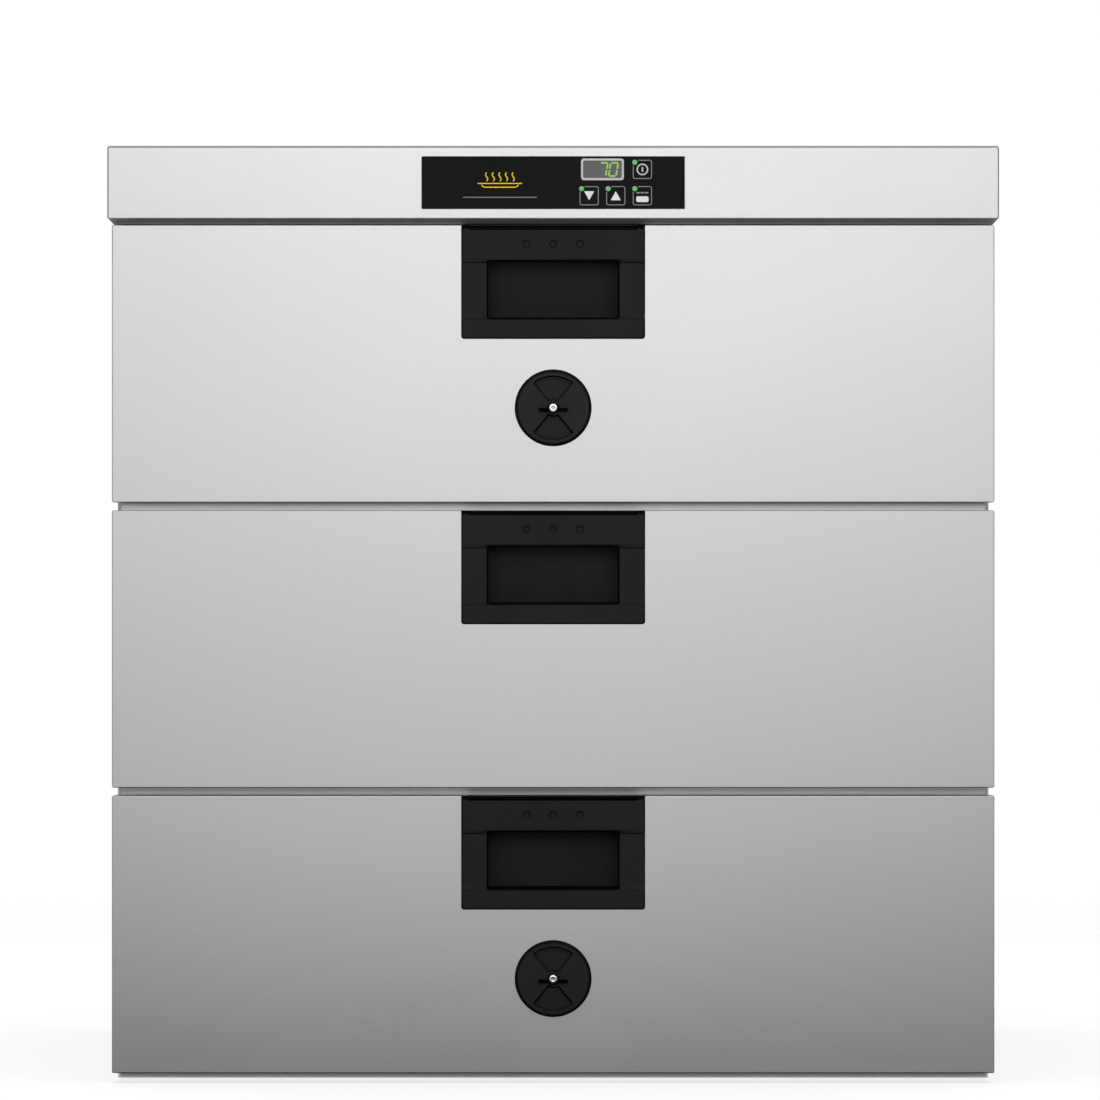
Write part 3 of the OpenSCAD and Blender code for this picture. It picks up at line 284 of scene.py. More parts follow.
class Graph:
    """Adds nodes to the tree of one material, or of the world"""

    def __init__(self, tree):
        self.tree = tree
        tree.nodes.clear()

    def node(self, kind, settings=None, inputs=None, output=0):
        made = self.tree.nodes.new(kind)
        for name, value in (settings or {}).items():
            if name == "stops":
                self.set_stops(made.color_ramp, value)
            else:
                setattr(made, name, value)
        for name, value in (inputs or {}).items():
            if isinstance(value, Value):
                self.tree.links.new(value.socket, made.inputs[name])
            else:
                made.inputs[name].default_value = value
        return Value(self, made.outputs[output]) if made.outputs else None

    def set_stops(self, ramp, stops):
        while len(ramp.elements) < len(stops):
            ramp.elements.new(1)
        for element, (place, colour) in zip(ramp.elements, stops):
            element.position = place
            element.color = rgba(colour)

    def blend(self, factor, first, second):
        """A colour between two others, through the colour sockets of a Mix node"""
        inputs = {0: factor, 6: rgba(first), 7: rgba(second)}
        return self.node("ShaderNodeMix", {"data_type": "RGBA"}, inputs, output=2)

    def tones(self, factor, colour, dark, light):
        """A colour, from dark times to light times its own brightness"""
        shades = [tuple(min(1, part * level) for part in colour) for level in (dark, light)]
        return self.blend(factor, *shades)

    def place(self):
        """X, Y and Z on the piece, in metres"""
        where = self.node("ShaderNodeTexCoord", output="Object")
        return [self.node("ShaderNodeSeparateXYZ", None, {0: where}, axis) for axis in range(3)]

    def facing(self, axis):
        """How far the surface faces along an axis of the piece, from -1 to 1"""
        normal = self.node("ShaderNodeTexCoord", output="Normal")
        return self.node("ShaderNodeSeparateXYZ", None, {0: normal}, axis)

    def point(self, x, y, z):
        return self.node("ShaderNodeCombineXYZ", None, {0: x, 1: y, 2: z})

    def noise(self, point, scale=1, detail=2, roughness=0.5):
        inputs = {"Vector": point, "Scale": scale, "Detail": detail, "Roughness": roughness}
        return self.node("ShaderNodeTexNoise", None, inputs)

    def spots(self, scale, detail=2, roughness=0.5):
        """Even noise all over the piece, with scale spots to a metre"""
        return self.noise(self.point(*self.place()), scale, detail, roughness)

    def bump(self, height, depth, strength):
        inputs = {"Height": height, "Distance": depth, "Strength": strength}
        return self.node("ShaderNodeBump", None, inputs)


def rgba(colour):
    """A colour for a socket: three numbers get an alpha of 1"""
    return colour if isinstance(colour, Value) else (*colour, 1)


# ---- Finishes: each gives the sockets of its Principled shader ----


def patchy(fine, coarse, part):
    """Two noises in one, the fine one by its part, with more contrast than either"""
    return (fine * part + coarse * (1 - part)).rise(0.3, 0.7)


def sheet_metal(graph, colour, roughness, grain, along=24, across=900, cloudy=0.05):
    """Ground sheet: long fine lines, a fine speckle, and faint clouds"""
    x, y, z = graph.place()
    level = abs(graph.facing(2)).rise(0.6, 0.8)
    run = x + y * (1 - level)
    step = z * (1 - level) + y * level
    lines = graph.noise(graph.point(run * along, step * across, 0), detail=3, roughness=0.6)
    speckle = graph.spots(700, roughness=0.6)
    clouds = graph.spots(7, detail=3)
    tone = 0.5 + lines.swing(0.4 * grain) + speckle.swing(grain) + clouds.swing(0.3)
    return {
        "Base Color": graph.tones(tone.clamped(), colour, 0.9, 1.1),
        "Metallic": 1,
        "Roughness": (roughness + clouds.swing(cloudy) + lines.swing(0.06 * grain)).clamped(),
        "Normal": graph.bump(speckle, 0.004 * MM, 0.3 * grain),
    }


def brushed_steel(graph):
    steel = setting("steel_finish")
    return sheet_metal(graph, steel.colour, steel.roughness, steel.grain)


def chamber_steel(graph):
    return sheet_metal(graph, (0.6, 0.6, 0.6), 0.38, 0.35, 16, 500, 0.12)


def pan_steel(graph):
    return sheet_metal(graph, (0.7, 0.7, 0.7), 0.24, 0.1, 9, 700, 0.06)


def zinc_steel(graph):
    """Zinc plate: a fine spangle and a cool tint"""
    spangle, clouds = graph.spots(420), graph.spots(24)
    tone = patchy(spangle, clouds, 0.7)
    return {
        "Base Color": graph.blend(tone, (0.47, 0.48, 0.5), (0.6, 0.61, 0.63)),
        "Metallic": 1,
        "Roughness": 0.32 + clouds * 0.16,
        "Normal": graph.bump(spangle, 0.01 * MM, 0.3),
    }


def heater_steel(graph):
    """Heater tube: straw and blue temper colours over a dull grey"""
    stops = [
        (0.35, (0.22, 0.2, 0.19)), (0.48, (0.33, 0.25, 0.15)),
        (0.6, (0.16, 0.15, 0.2)), (0.72, (0.27, 0.26, 0.25)),
    ]
    scale = graph.spots(300, detail=3, roughness=0.6)
    return {
        "Base Color": graph.node("ShaderNodeValToRGB", {"stops": stops}, {0: graph.spots(9)}),
        "Metallic": 0.9,
        "Roughness": 0.4 + scale * 0.2,
        "Normal": graph.bump(scale, 0.05 * MM, 0.4),
    }


def rivet_steel(graph):
    """Turned rivets and screws: bright, with a fine speckle left by the tool"""
    speckle = graph.spots(1500)
    return {
        "Base Color": graph.blend(speckle, (0.74, 0.74, 0.73), (0.84, 0.84, 0.83)),
        "Metallic": 1,
        "Roughness": 0.2 + speckle * 0.14,
        "Normal": graph.bump(speckle, 0.01 * MM, 0.3),
    }


def moulded(graph, colour, roughness, pores, depth, side_shade=0, top_shade=1):
    """Moulded plastic or rubber with a fine spark-eroded texture and faint handling marks

    With the side share, the faces that turn away from the front lose their pale sheen and go
    black: painted shade on the sides and edges. The top share is how much of that painted
    shade goes for the faces that turn up.
    """
    x, y, z = graph.place()
    texture = graph.spots(pores, roughness=0.6)
    marks = graph.noise(graph.point(x, y, z * 0.4), 26, 3, 0.6)
    tone = patchy(texture, marks, 0.6)
    # Painted shade: faces that turn away from the front go metallic black and lose their sheen, less
    # so where they turn up
    turned = 1 - abs(graph.facing(1)).rise(0.9, 0.985)
    upward = graph.facing(2).rise(0.15, 0.5)
    return {
        "Base Color": graph.tones(tone, colour, 0.82, 1.2),
        "Metallic": turned * side_shade * (1 - upward * (1 - top_shade)),
        "Roughness": (roughness + marks.swing(0.18) + texture.swing(0.1)).clamped(),
        "Specular IOR Level": 0.39,
        "Normal": graph.bump(texture, depth, 0.6),
    }


def handle_plastic(graph):
    plastic = setting("plastic_finish")
    # The handles get painted shade on the faces that turn away from the front
    return moulded(graph, plastic.colour, plastic.roughness, 1800, 0.03 * MM, 0.85)


def black_plastic(graph, top_shade=1):
    """The vents and the gland: a finer and glossier moulding than the handles"""
    plastic = setting("plastic_finish")
    roughness = plastic.roughness - 0.08
    # Painted shade on the faces that turn away from the front; the second share says how much of it
    # goes on the faces that turn up
    return moulded(graph, plastic.colour, roughness, 2600, 0.015 * MM, 0.85, top_shade)


def shutter_plastic(graph):
    # The vents' plastic with painted shade as if lit from above: faces that turn away from the front
    # go dark, but those that turn up keep most of their sheen
    return black_plastic(graph, 0.1)


def foot_rubber(graph):
    return moulded(graph, (0.02, 0.02, 0.021), 0.75, 900, 0.06 * MM)


def gasket_rubber(graph):
    return moulded(graph, (0.03, 0.03, 0.03), 0.6, 1100, 0.03 * MM)


def fascia_black(graph):
    """Printed foil: an even black with a fine orange-peel gloss"""
    peel, haze = graph.spots(1200, detail=1), graph.spots(30)
    return {
        "Base Color": graph.blend(haze, (0.0033, 0.0033, 0.0031), (0.0057, 0.0057, 0.0055)),
        "Roughness": 0.46 + haze * 0.12 + peel * 0.06,
        "Specular IOR Level": 0.12,
        "Normal": graph.bump(peel, 0.004 * MM, 0.4),
    }


def display_lens(graph):
    """Display window: smoked grey, with the faint rows of its mask"""
    x, y, z = graph.place()
    rows = graph.noise(graph.point(x * 6, 0, z * 1600), detail=1)
    return {
        "Base Color": graph.blend(rows, (0.03, 0.032, 0.032), (0.052, 0.054, 0.054)),
        "Roughness": 0.18 + graph.spots(60) * 0.1,
    }


def ink(graph, colour, wear=0.12):
    """Screen-printed ink with a slightly uneven cover"""
    cover = graph.spots(1600, roughness=0.6)
    return {
        "Base Color": graph.tones(cover, colour, 1 - wear, 1 + wear),
        "Roughness": 0.45 + cover * 0.15,
        "Specular IOR Level": 0.3,
    }


def white_ink(graph):
    return ink(graph, (0.78, 0.78, 0.77))


def grey_ink(graph):
    return ink(graph, (0.26, 0.26, 0.25))


def silver_ink(graph):
    return ink(graph, (0.55, 0.55, 0.54))


def emblem_ink(graph):
    return ink(graph, setting("control_sizes").emblem_colour, 0.06)


def glow(graph, colour):
    """A lit part: a little darker where its plastic has flaws"""
    flaws = graph.spots(900)
    return {
        "Base Color": graph.tones(flaws, colour, 0.2, 0.28),
        "Emission Color": graph.tones(flaws, colour, 0.85, 1.15),
        "Emission Strength": 0.8,
        "Roughness": 0.25 + flaws * 0.1,
    }


def digit_glow(graph):
    return glow(graph, setting("control_sizes").digit_colour)


def lamp_glow(graph):
    return glow(graph, setting("control_sizes").lamp_colour)


def circuit_board(graph):
    """Green board with copper tracks under the varnish"""
    x, y, z = graph.place()
    tracks = abs(graph.noise(graph.point(x * 90, 0, z * 90), detail=0) - 0.5).rise(0, 0.04)
    return {
        "Base Color": graph.blend(tracks, (0.05, 0.2, 0.08), (0.012, 0.09, 0.035)),
        "Roughness": 0.3 + tracks * 0.1,
        "Normal": graph.bump(tracks, -0.03 * MM, 0.5),
    }


def wire_sleeve(graph):
    """Braided glass sleeving on the looms: two crossing sets of strands"""
    x, y, z = graph.place()
    settings = {"bands_direction": "DIAGONAL"}
    strands = [
        {"Vector": graph.point(x, y, up), "Scale": 260} for up in (z, 0 - z)
    ]
    there, back = (graph.node("ShaderNodeTexWave", settings, inputs, 1) for inputs in strands)
    braid = there * back
    return {
        "Base Color": graph.blend(braid.clamped(), (0.25, 0.06, 0.02), (0.55, 0.16, 0.06)),
        "Roughness": 0.6 + braid * 0.2,
        "Normal": graph.bump(braid, 0.1 * MM, 0.6),
    }


def mineral_wool(graph):
    """Pressed wool: matted fibres, lighter where they stand out"""
    x, y, z = graph.place()
    fibres = graph.noise(graph.point(x * 60, y * 300, z * 300), detail=5, roughness=0.7)
    lumps = graph.spots(45, detail=3, roughness=0.6)
    tone = patchy(fibres, lumps, 0.6)
    return {
        "Base Color": graph.blend(tone, (0.35, 0.29, 0.13), (0.72, 0.65, 0.42)),
        "Roughness": 0.85 + fibres * 0.1,
        "Specular IOR Level": 0.2,
        "Normal": graph.bump(fibres, 0.5 * MM, 0.8),
    }


@functools.cache
def material_of(finish):
    """The material of a finish, made when it is first asked for"""
    graph, material = new_material(finish.__name__)
    shader = graph.node("ShaderNodeBsdfPrincipled", None, finish(graph))
    graph.node("ShaderNodeOutputMaterial", None, {"Surface": shader})
    return material


def new_material(name):
    material = bpy.data.materials.new(name)
    material.use_nodes = True
    return Graph(material.node_tree), material


# ---- Outlines: each is a function of how far it is drawn in ----


def rounded(half_u, half_v, radius, centre=(0, 0), steps=6):
    """A rectangle with four round corners"""

    def outline(inset):
        r = max(radius - inset, LEAST_RADIUS)
        u, v = half_u - inset - r, half_v - inset - r
        points = []
        for turn, (side_u, side_v) in enumerate(((1, 1), (-1, 1), (-1, -1), (1, -1))):
            for i in range(steps + 1):
                angle = (turn + i / steps) * QUARTER
                points.append((
                    centre[0] + side_u * u + r * math.cos(angle),
                    centre[1] + side_v * v + r * math.sin(angle),
                ))
        return points

    return outline


def circle(radius, centre=(0, 0), steps=72):
    def outline(inset):
        r = radius - inset
        turns = [2 * math.pi * i / steps for i in range(steps)]
        return [(centre[0] + r * math.cos(a), centre[1] + r * math.sin(a)) for a in turns]

    return outline


def sector(inner, outer, half_angle, centre, turn, steps=20):
    """A piece of a ring, symmetrical about the direction turn"""

    def outline(inset):
        points = []
        for r, way in ((outer - inset, 1), (inner + inset, -1)):
            half = half_angle - math.asin(inset / r)
            for i in range(steps + 1):
                angle = turn + way * (2 * i / steps - 1) * half
                points.append((centre[0] + r * math.cos(angle), centre[1] + r * math.sin(angle)))
        return points

    return outline


def cross(arm, half_width, centre):
    """The recess in a screw head"""

    def outline(inset):
        a, w = arm - inset, half_width - inset
        corners = [(a, -w), (a, w), (w, w), (w, a), (-w, a), (-w, w)]
        points = corners + [(-u, -v) for u, v in corners]
        return [(centre[0] + u, centre[1] + v) for u, v in points]

    return outline


def polygon(points):
    """Straight lines between some points, which can't be drawn in"""
    return lambda inset: points


def round_edge(start, end, radius, steps=4):
    """Insets and depths round an edge, from the face at start to the side that runs to end"""
    way = math.copysign(1, end - start)
    turns = [QUARTER * i / steps for i in range(steps + 1)]
    return [
        (radius * (1 - math.sin(a)), start + way * radius * (1 - math.cos(a))) for a in turns
    ]


# ---- Pieces ----


def facing_front(u, v, depth):
    """Outlines in the plane of the drawer fronts, depths along Y"""
    return (u, depth, v)


def lying(u, v, depth):
    """Outlines in a level plane, depths along Z"""
    return (u, v, depth)


def facing_side(u, v, depth):
    """Outlines in the plane of the side panels, depths along X"""
    return (depth, u, v)


class Blank:
    """A piece in the making"""

    def __init__(self, plane=facing_front):
        self.mesh = bmesh.new()
        self.plane = plane

    def ring(self, points, depth):
        """New corners at one depth"""
        return [self.mesh.verts.new(self.plane(u, v, depth)) for u, v in points]

    def rings(self, outline, steps):
        """The corners of an outline at each inset and depth"""
        return [self.ring(outline(inset), depth) for inset, depth in steps]

    def rounds(self, at, profile, steps=48):
        """Round rings about a middle, at each radius and depth"""
        return self.rings(circle(0, at, steps), [(-radius, depth) for radius, depth in profile])

    def wrap(self, rings, closed=True):
        """Joins each ring to the next"""
        for near, far in zip(rings, rings[1:]):
            count = len(near)
            for i in range(count if closed else count - 1):
                j = (i + 1) % count
                self.mesh.faces.new((near[i], near[j], far[j], far[i]))
        return rings

    def fill(self, *rings):
        """Closes a face, with a hole inside each ring after the first"""
        if len(rings) == 1:
            self.mesh.faces.new(rings[0])
            return
        edges = []
        for ring in rings:
            for pair in zip(ring, ring[1:] + ring[:1]):
                edges.append(self.mesh.edges.get(pair) or self.mesh.edges.new(pair))
        bmesh.ops.triangle_fill(self.mesh, use_beauty=True, edges=edges)

    def close(self, rings):
        """A closed body: each ring joined to the next, and both ends filled"""
        self.wrap(rings)
        self.fill(rings[0])
        self.fill(rings[-1])
        return self

    def lathe(self, outline, steps):
        """A closed body: an outline drawn through a list of insets and depths"""
        return self.close(self.rings(outline, steps))

    def plate(self, outline, start, end, holes=(), edge=0, back_edge=0):
        """A plate between two depths, rounded at its edges, with holes through it"""
        steps = round_edge(start, end, edge) if edge else [(0, start)]
        steps += reversed(round_edge(end, start, back_edge)) if back_edge else [(0, end)]
        sides = [self.wrap(self.rings(outline, steps))]
        for hole in holes:
            sides.append(self.wrap(self.rings(hole, [(-inset, y) for inset, y in steps])))
        self.fill(*(rings[0] for rings in sides))
        self.fill(*(rings[-1] for rings in sides))
        return self

    def box(self, low, high):
        """A plain block, as a tool to cut with or as a wall"""
        corners = [(low[0], low[2]), (high[0], low[2]), (high[0], high[2]), (low[0], high[2])]
        return self.lathe(polygon(corners), [(0, low[1]), (0, high[1])])

    def line(self, path, width, start, end, closed=False):
        """A flat line of even width along a path"""
        rings = []
        count = len(path)
        for i, here in enumerate(path):
            before = path[i - 1] if i or closed else here
            after = path[(i + 1) % count] if i + 1 < count or closed else here
            way = Vector((after[0] - before[0], after[1] - before[1])).normalized() * width / 2
            edge = [(here[0] - way.y, here[1] + way.x), (here[0] + way.y, here[1] - way.x)]
            rings.append(self.ring(edge, start) + self.ring(reversed(edge), end))
        if closed:
            self.wrap(rings + rings[:1])
            return self
        return self.close(rings)

    def join(self, other):
        """Adds another blank's faces to this one"""
        data = other.to_data("blank")
        self.mesh.from_mesh(data)
        bpy.data.meshes.remove(data)
        return self

    def to_data(self, name):
        bmesh.ops.recalc_face_normals(self.mesh, faces=self.mesh.faces)
        data = bpy.data.meshes.new(name)
        self.mesh.to_mesh(data)
        self.mesh.free()
        return data

    def cut(self, *tools):
        """Takes the tools' shapes out of this one"""
        blank, *cutters = (new_object("blank", part.to_data("blank")) for part in (self, *tools))
        for cutter in cutters:
            step = blank.modifiers.new("cut", "BOOLEAN")
            step.object = cutter
            step.operation = "DIFFERENCE"
            step.solver = "EXACT"
        view = bpy.context.evaluated_depsgraph_get()
        carved = bpy.data.meshes.new_from_object(blank.evaluated_get(view))
        self.mesh = bmesh.new()
        self.mesh.from_mesh(carved)
        for data in [carved, *(used.data for used in (blank, *cutters))]:
            bpy.data.meshes.remove(data)
        bmesh.ops.dissolve_limit(
            self.mesh, angle_limit=math.radians(1), verts=self.mesh.verts, edges=self.mesh.edges
        )
        return self

    def piece(self, name, finish, body, *replaces):
        """Makes the object, gives it its finish, and sets it on its body"""
        data = self.to_data(name)
        data.materials.append(material_of(finish))
        data.shade_smooth()
        data.set_sharp_from_angle(angle=SHARP)
        obj = new_object(name, data)
        flatten = obj.modifiers.new("flat_faces", "WEIGHTED_NORMAL")
        flatten.keep_sharp = True
        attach(obj, body)
        if replaces:
            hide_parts(*replaces)


def new_object(name, data):
    obj = bpy.data.objects.new(name, data)
    bpy.context.scene.collection.objects.link(obj)
    return obj


def dress(node, finish, edge=0):
    """Gives a CAD node its finish and, where asked, softens its sharp edges"""
    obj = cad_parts[node]
    for place in obj.material_slots:
        place.material = material_of(finish)
    if not edge:
        return
    weld = obj.modifiers.new("join_faces", "WELD")
    weld.merge_threshold = 0.002 * MM
    bevel = obj.modifiers.new("soft_edges", "BEVEL")
    bevel.width = edge
    bevel.segments = 2
    bevel.limit_method = "ANGLE"
    bevel.angle_limit = SHARP
    obj.modifiers.new("flat_faces", "WEIGHTED_NORMAL")


def middle(node):
    """The middle of a node's box, seen from the front"""
    low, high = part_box(node)
    centre = (low + high) / 2
    return centre.x, centre.z


class UNIT_OT_fronts(bpy.types.Operator):
    """Makes the folded steel fronts of the drawers"""

    bl_idname = "unit.fronts"
    bl_label = "Drawer fronts"

    def execute(self, context):
        for row in ROWS:
            self.make_front(row)
        return {"FINISHED"}

    def make_front(self, row):
        sizes = setting("front_sizes")
        low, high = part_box(f"{row}_front_skin")
        sheet = sizes.sheet
        outer = rounded(high.x, (high.z - low.z) / 2, sizes.corner, (0, (low.z + high.z) / 2))
        inside = round_edge(low.y + sheet, high.y, max(sizes.edge - sheet, LEAST_RADIUS))
        skin = Blank().lathe(outer, [
            *round_edge(low.y, high.y, sizes.edge), (0, high.y), (sheet, high.y),
            *((sheet + inset, y) for inset, y in reversed(inside)),
        ])
        front, back = low.y - sheet, high.y + sheet
        tools = [Blank().box(
            (-sizes.notch_half, front, high.z - sizes.notch_height),
            (sizes.notch_half, back, high.z + sheet),
        )]
        if row in VENTED_ROWS:
            sleeve = circle(setting("vent_sizes").sleeve + FINE, middle(f"{row}_vent_base"))
            tools.append(Blank().plate(sleeve, front, back))
        skin.cut(*tools)
        skin.piece(f"{row}_front_sheet", brushed_steel, f"{row}_drawer", f"{row}_front_skin")


class UNIT_OT_handles(bpy.types.Operator):
    """Makes the recessed handles"""

    bl_idname = "unit.handles"
    bl_label = "Handles"

    score_width = 0.5 * MM
    score_depth = 0.45 * MM
    dimple_depth = 0.7 * MM
    dimple_steps = 40
    groove_ends = 1.2 * MM
    mouth_inset = 0.5 * MM
    # How much deeper than the band its floor is cut, as a share of its depth
    floor_drop = 0.25
    tray_depth = 14 * MM
    tray_play = 0.2 * MM
    tray_corner = 0.5 * MM
    tray_rise = 4.2 * MM
    cup_start = 1.35 * MM
    cup_side = 2 * MM
    cup_sill = 1 * MM
    cup_hook = 7.6 * MM
    cup_corner = 4 * MM
    cup_edge = 2 * MM

    def execute(self, context):
        for row in ROWS:
            self.make_handle(row)
        return {"FINISHED"}

    def make_handle(self, row):
        sizes = setting("handle_sizes")
        low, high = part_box(f"{row}_handle")
        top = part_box(f"{row}_front_skin")[1].z - FINE
        handle = self.face(sizes, low, high, top)
        handle.join(self.tray(sizes, low, high, top))
        handle.join(self.cup(sizes, high.z - sizes.mouth_drop, high.y))
        handle.piece(f"{row}_handle_moulding", handle_plastic, f"{row}_drawer", f"{row}_handle")

    def face(self, sizes, low, high, top):
        """The plate: a shallow band beside the mouth, fine lines, the groove and the dimples

        Its band is cut deeper than it shows, down to a thin slab that gives the band its floor.
        """
        front = low.y
        mouth_top = high.z - sizes.mouth_drop
        mouth_low = mouth_top - sizes.mouth_height
        band_top = mouth_top - sizes.slope + sizes.band
        groove_low = high.z - sizes.groove
        shallow = front + sizes.band
        over = 2 * sizes.corner
        end = top + over
        outline = rounded(high.x, (end - low.z) / 2, sizes.corner, (0, (end + low.z) / 2))
        floor, run = shallow + self.floor_drop * sizes.band, self.floor_drop * sizes.slope
        band = [
            (front - over, mouth_low), (front, mouth_low), (floor, mouth_low + sizes.slope + run),
            (floor, band_top - run), (front, mouth_top + sizes.band),
            (front - over, mouth_top + sizes.band),
        ]
        above = [
            (front - over, groove_low), (front, groove_low), (FRONT_Y, top), (FRONT_Y + over, top),
            (FRONT_Y + over, end + over), (front - over, end + over),
        ]
        plate = self.slab(outline, sizes.edge, front, FRONT_Y)
        plate.cut(
            self.bar(band, high.x), self.bar(above, high.x),
            self.mouth(sizes, front, mouth_top), self.groove(sizes, front, high, end),
            self.score(high.x, band_top, shallow), self.score(high.x, mouth_low, front),
        )
        plate.cut(*(self.dimple(sizes, front, high.z, i) for i in (-1, 0, 1)))
        thin = self.slab(outline, sizes.edge, shallow, FRONT_Y + LEAST_RADIUS)
        thin.cut(
            self.bar(above, high.x), self.mouth(sizes, front, mouth_top),
            self.groove(sizes, front, high, end), self.score(high.x, band_top, shallow),
        )
        return plate.join(thin)

    def slab(self, outline, edge, front, back):
        """A plate whose edge slopes back all round"""
        return Blank().lathe(
            outline, [(edge, front), (HAIR, back - 2 * HAIR), (0, back - HAIR), (0, back)]
        )

    def bar(self, section, half, past=1 * MM):
        """A tool of even section, right across the plate"""
        return Blank(facing_side).lathe(polygon(section), [(0, -half - past), (0, half + past)])

    def mouth(self, sizes, front, mouth_top):
        """The tool for the finger opening, which narrows round its edge"""
        half_height, lip = sizes.mouth_height / 2, sizes.mouth_lip
        outline = rounded(
            sizes.mouth_width / 2, half_height, sizes.mouth_corner, (0, mouth_top - half_height)
        )
        narrow = lip - self.mouth_inset
        edge = round_edge(front + sizes.band, FRONT_Y + sizes.groove_depth, lip, steps=6)
        return Blank().lathe(outline, [
            (narrow - lip, front - sizes.proud), *((narrow - inset, y) for inset, y in edge),
            (narrow, FRONT_Y + 2 * sizes.proud),
        ])

    def groove(self, sizes, front, high, end):
        """The tool for the groove along the top, with a round lip below it"""
        low, deep = high.z - sizes.groove, FRONT_Y + sizes.groove_depth
        section = [
            (front - sizes.proud, low - sizes.lip),
            *((y, low - inset) for inset, y in round_edge(front, deep, sizes.lip, steps=5)),
            (deep, low), (deep, end), (front - sizes.proud, end),
        ]
        return self.bar(section, setting("front_sizes").notch_half - self.groove_ends, 0)

    def score(self, half, z, face):
        """A fine line pressed into the plate, right across it"""
        width = self.score_width
        return Blank().box(
            (-half - width, face - width, z - width / 2),
            (half + width, face + self.score_depth, z + width / 2),
        )

    def dimple(self, sizes, front, top, place):
        """A ball whose cap is the dimple"""
        depth = self.dimple_depth
        r = (sizes.dimple_radius ** 2 + depth ** 2) / (2 * depth)
        centre = (place * sizes.dimple_pitch, top - sizes.dimple_drop)
        turns = [math.pi * (i + 0.5) / self.dimple_steps for i in range(self.dimple_steps)]
        ball = Blank()
        return ball.close(ball.rounds(centre, [
            (r * math.sin(a), front + depth - r - r * math.cos(a)) for a in turns
        ]))

    def tray(self, sizes, low, high, top):
        """The tray behind the plate, which stiffens the handle in its notch"""
        half = setting("front_sizes").notch_half - self.tray_play
        bottom = low.z + self.tray_rise
        inner_low, inner_top = bottom + sizes.wall, high.z - sizes.groove - sizes.wall
        outer = rounded(half, (top - bottom) / 2, self.tray_corner, (0, (bottom + top) / 2))
        hollow = rounded(
            half - sizes.wall, (inner_top - inner_low) / 2, self.tray_corner,
            (0, (inner_top + inner_low) / 2),
        )
        return Blank().plate(outer, FRONT_Y, FRONT_Y + self.tray_depth).cut(
            Blank().plate(hollow, FRONT_Y + sizes.proud, FRONT_Y + 2 * self.tray_depth),
            self.mouth(sizes, low.y, high.z - sizes.mouth_drop),
            self.groove(sizes, low.y, high, top - self.tray_corner),
        )

    def cup(self, sizes, mouth_top, back):
        """The finger space behind the mouth"""
        wall = sizes.wall
        top = mouth_top + self.cup_hook
        bottom = mouth_top - sizes.mouth_height - self.cup_sill
        outline = rounded(
            sizes.mouth_width / 2 + self.cup_side + wall, (top - bottom) / 2 + wall,
            self.cup_corner, (0, (top + bottom) / 2),
        )
        mouth = FRONT_Y + self.cup_start
        inside = round_edge(back - wall, mouth, self.cup_corner)
        return Blank().lathe(outline, [
            *((wall + inset, y) for inset, y in inside), (wall, mouth), (0, mouth),
            *reversed(round_edge(back, mouth, self.cup_edge)),
        ])


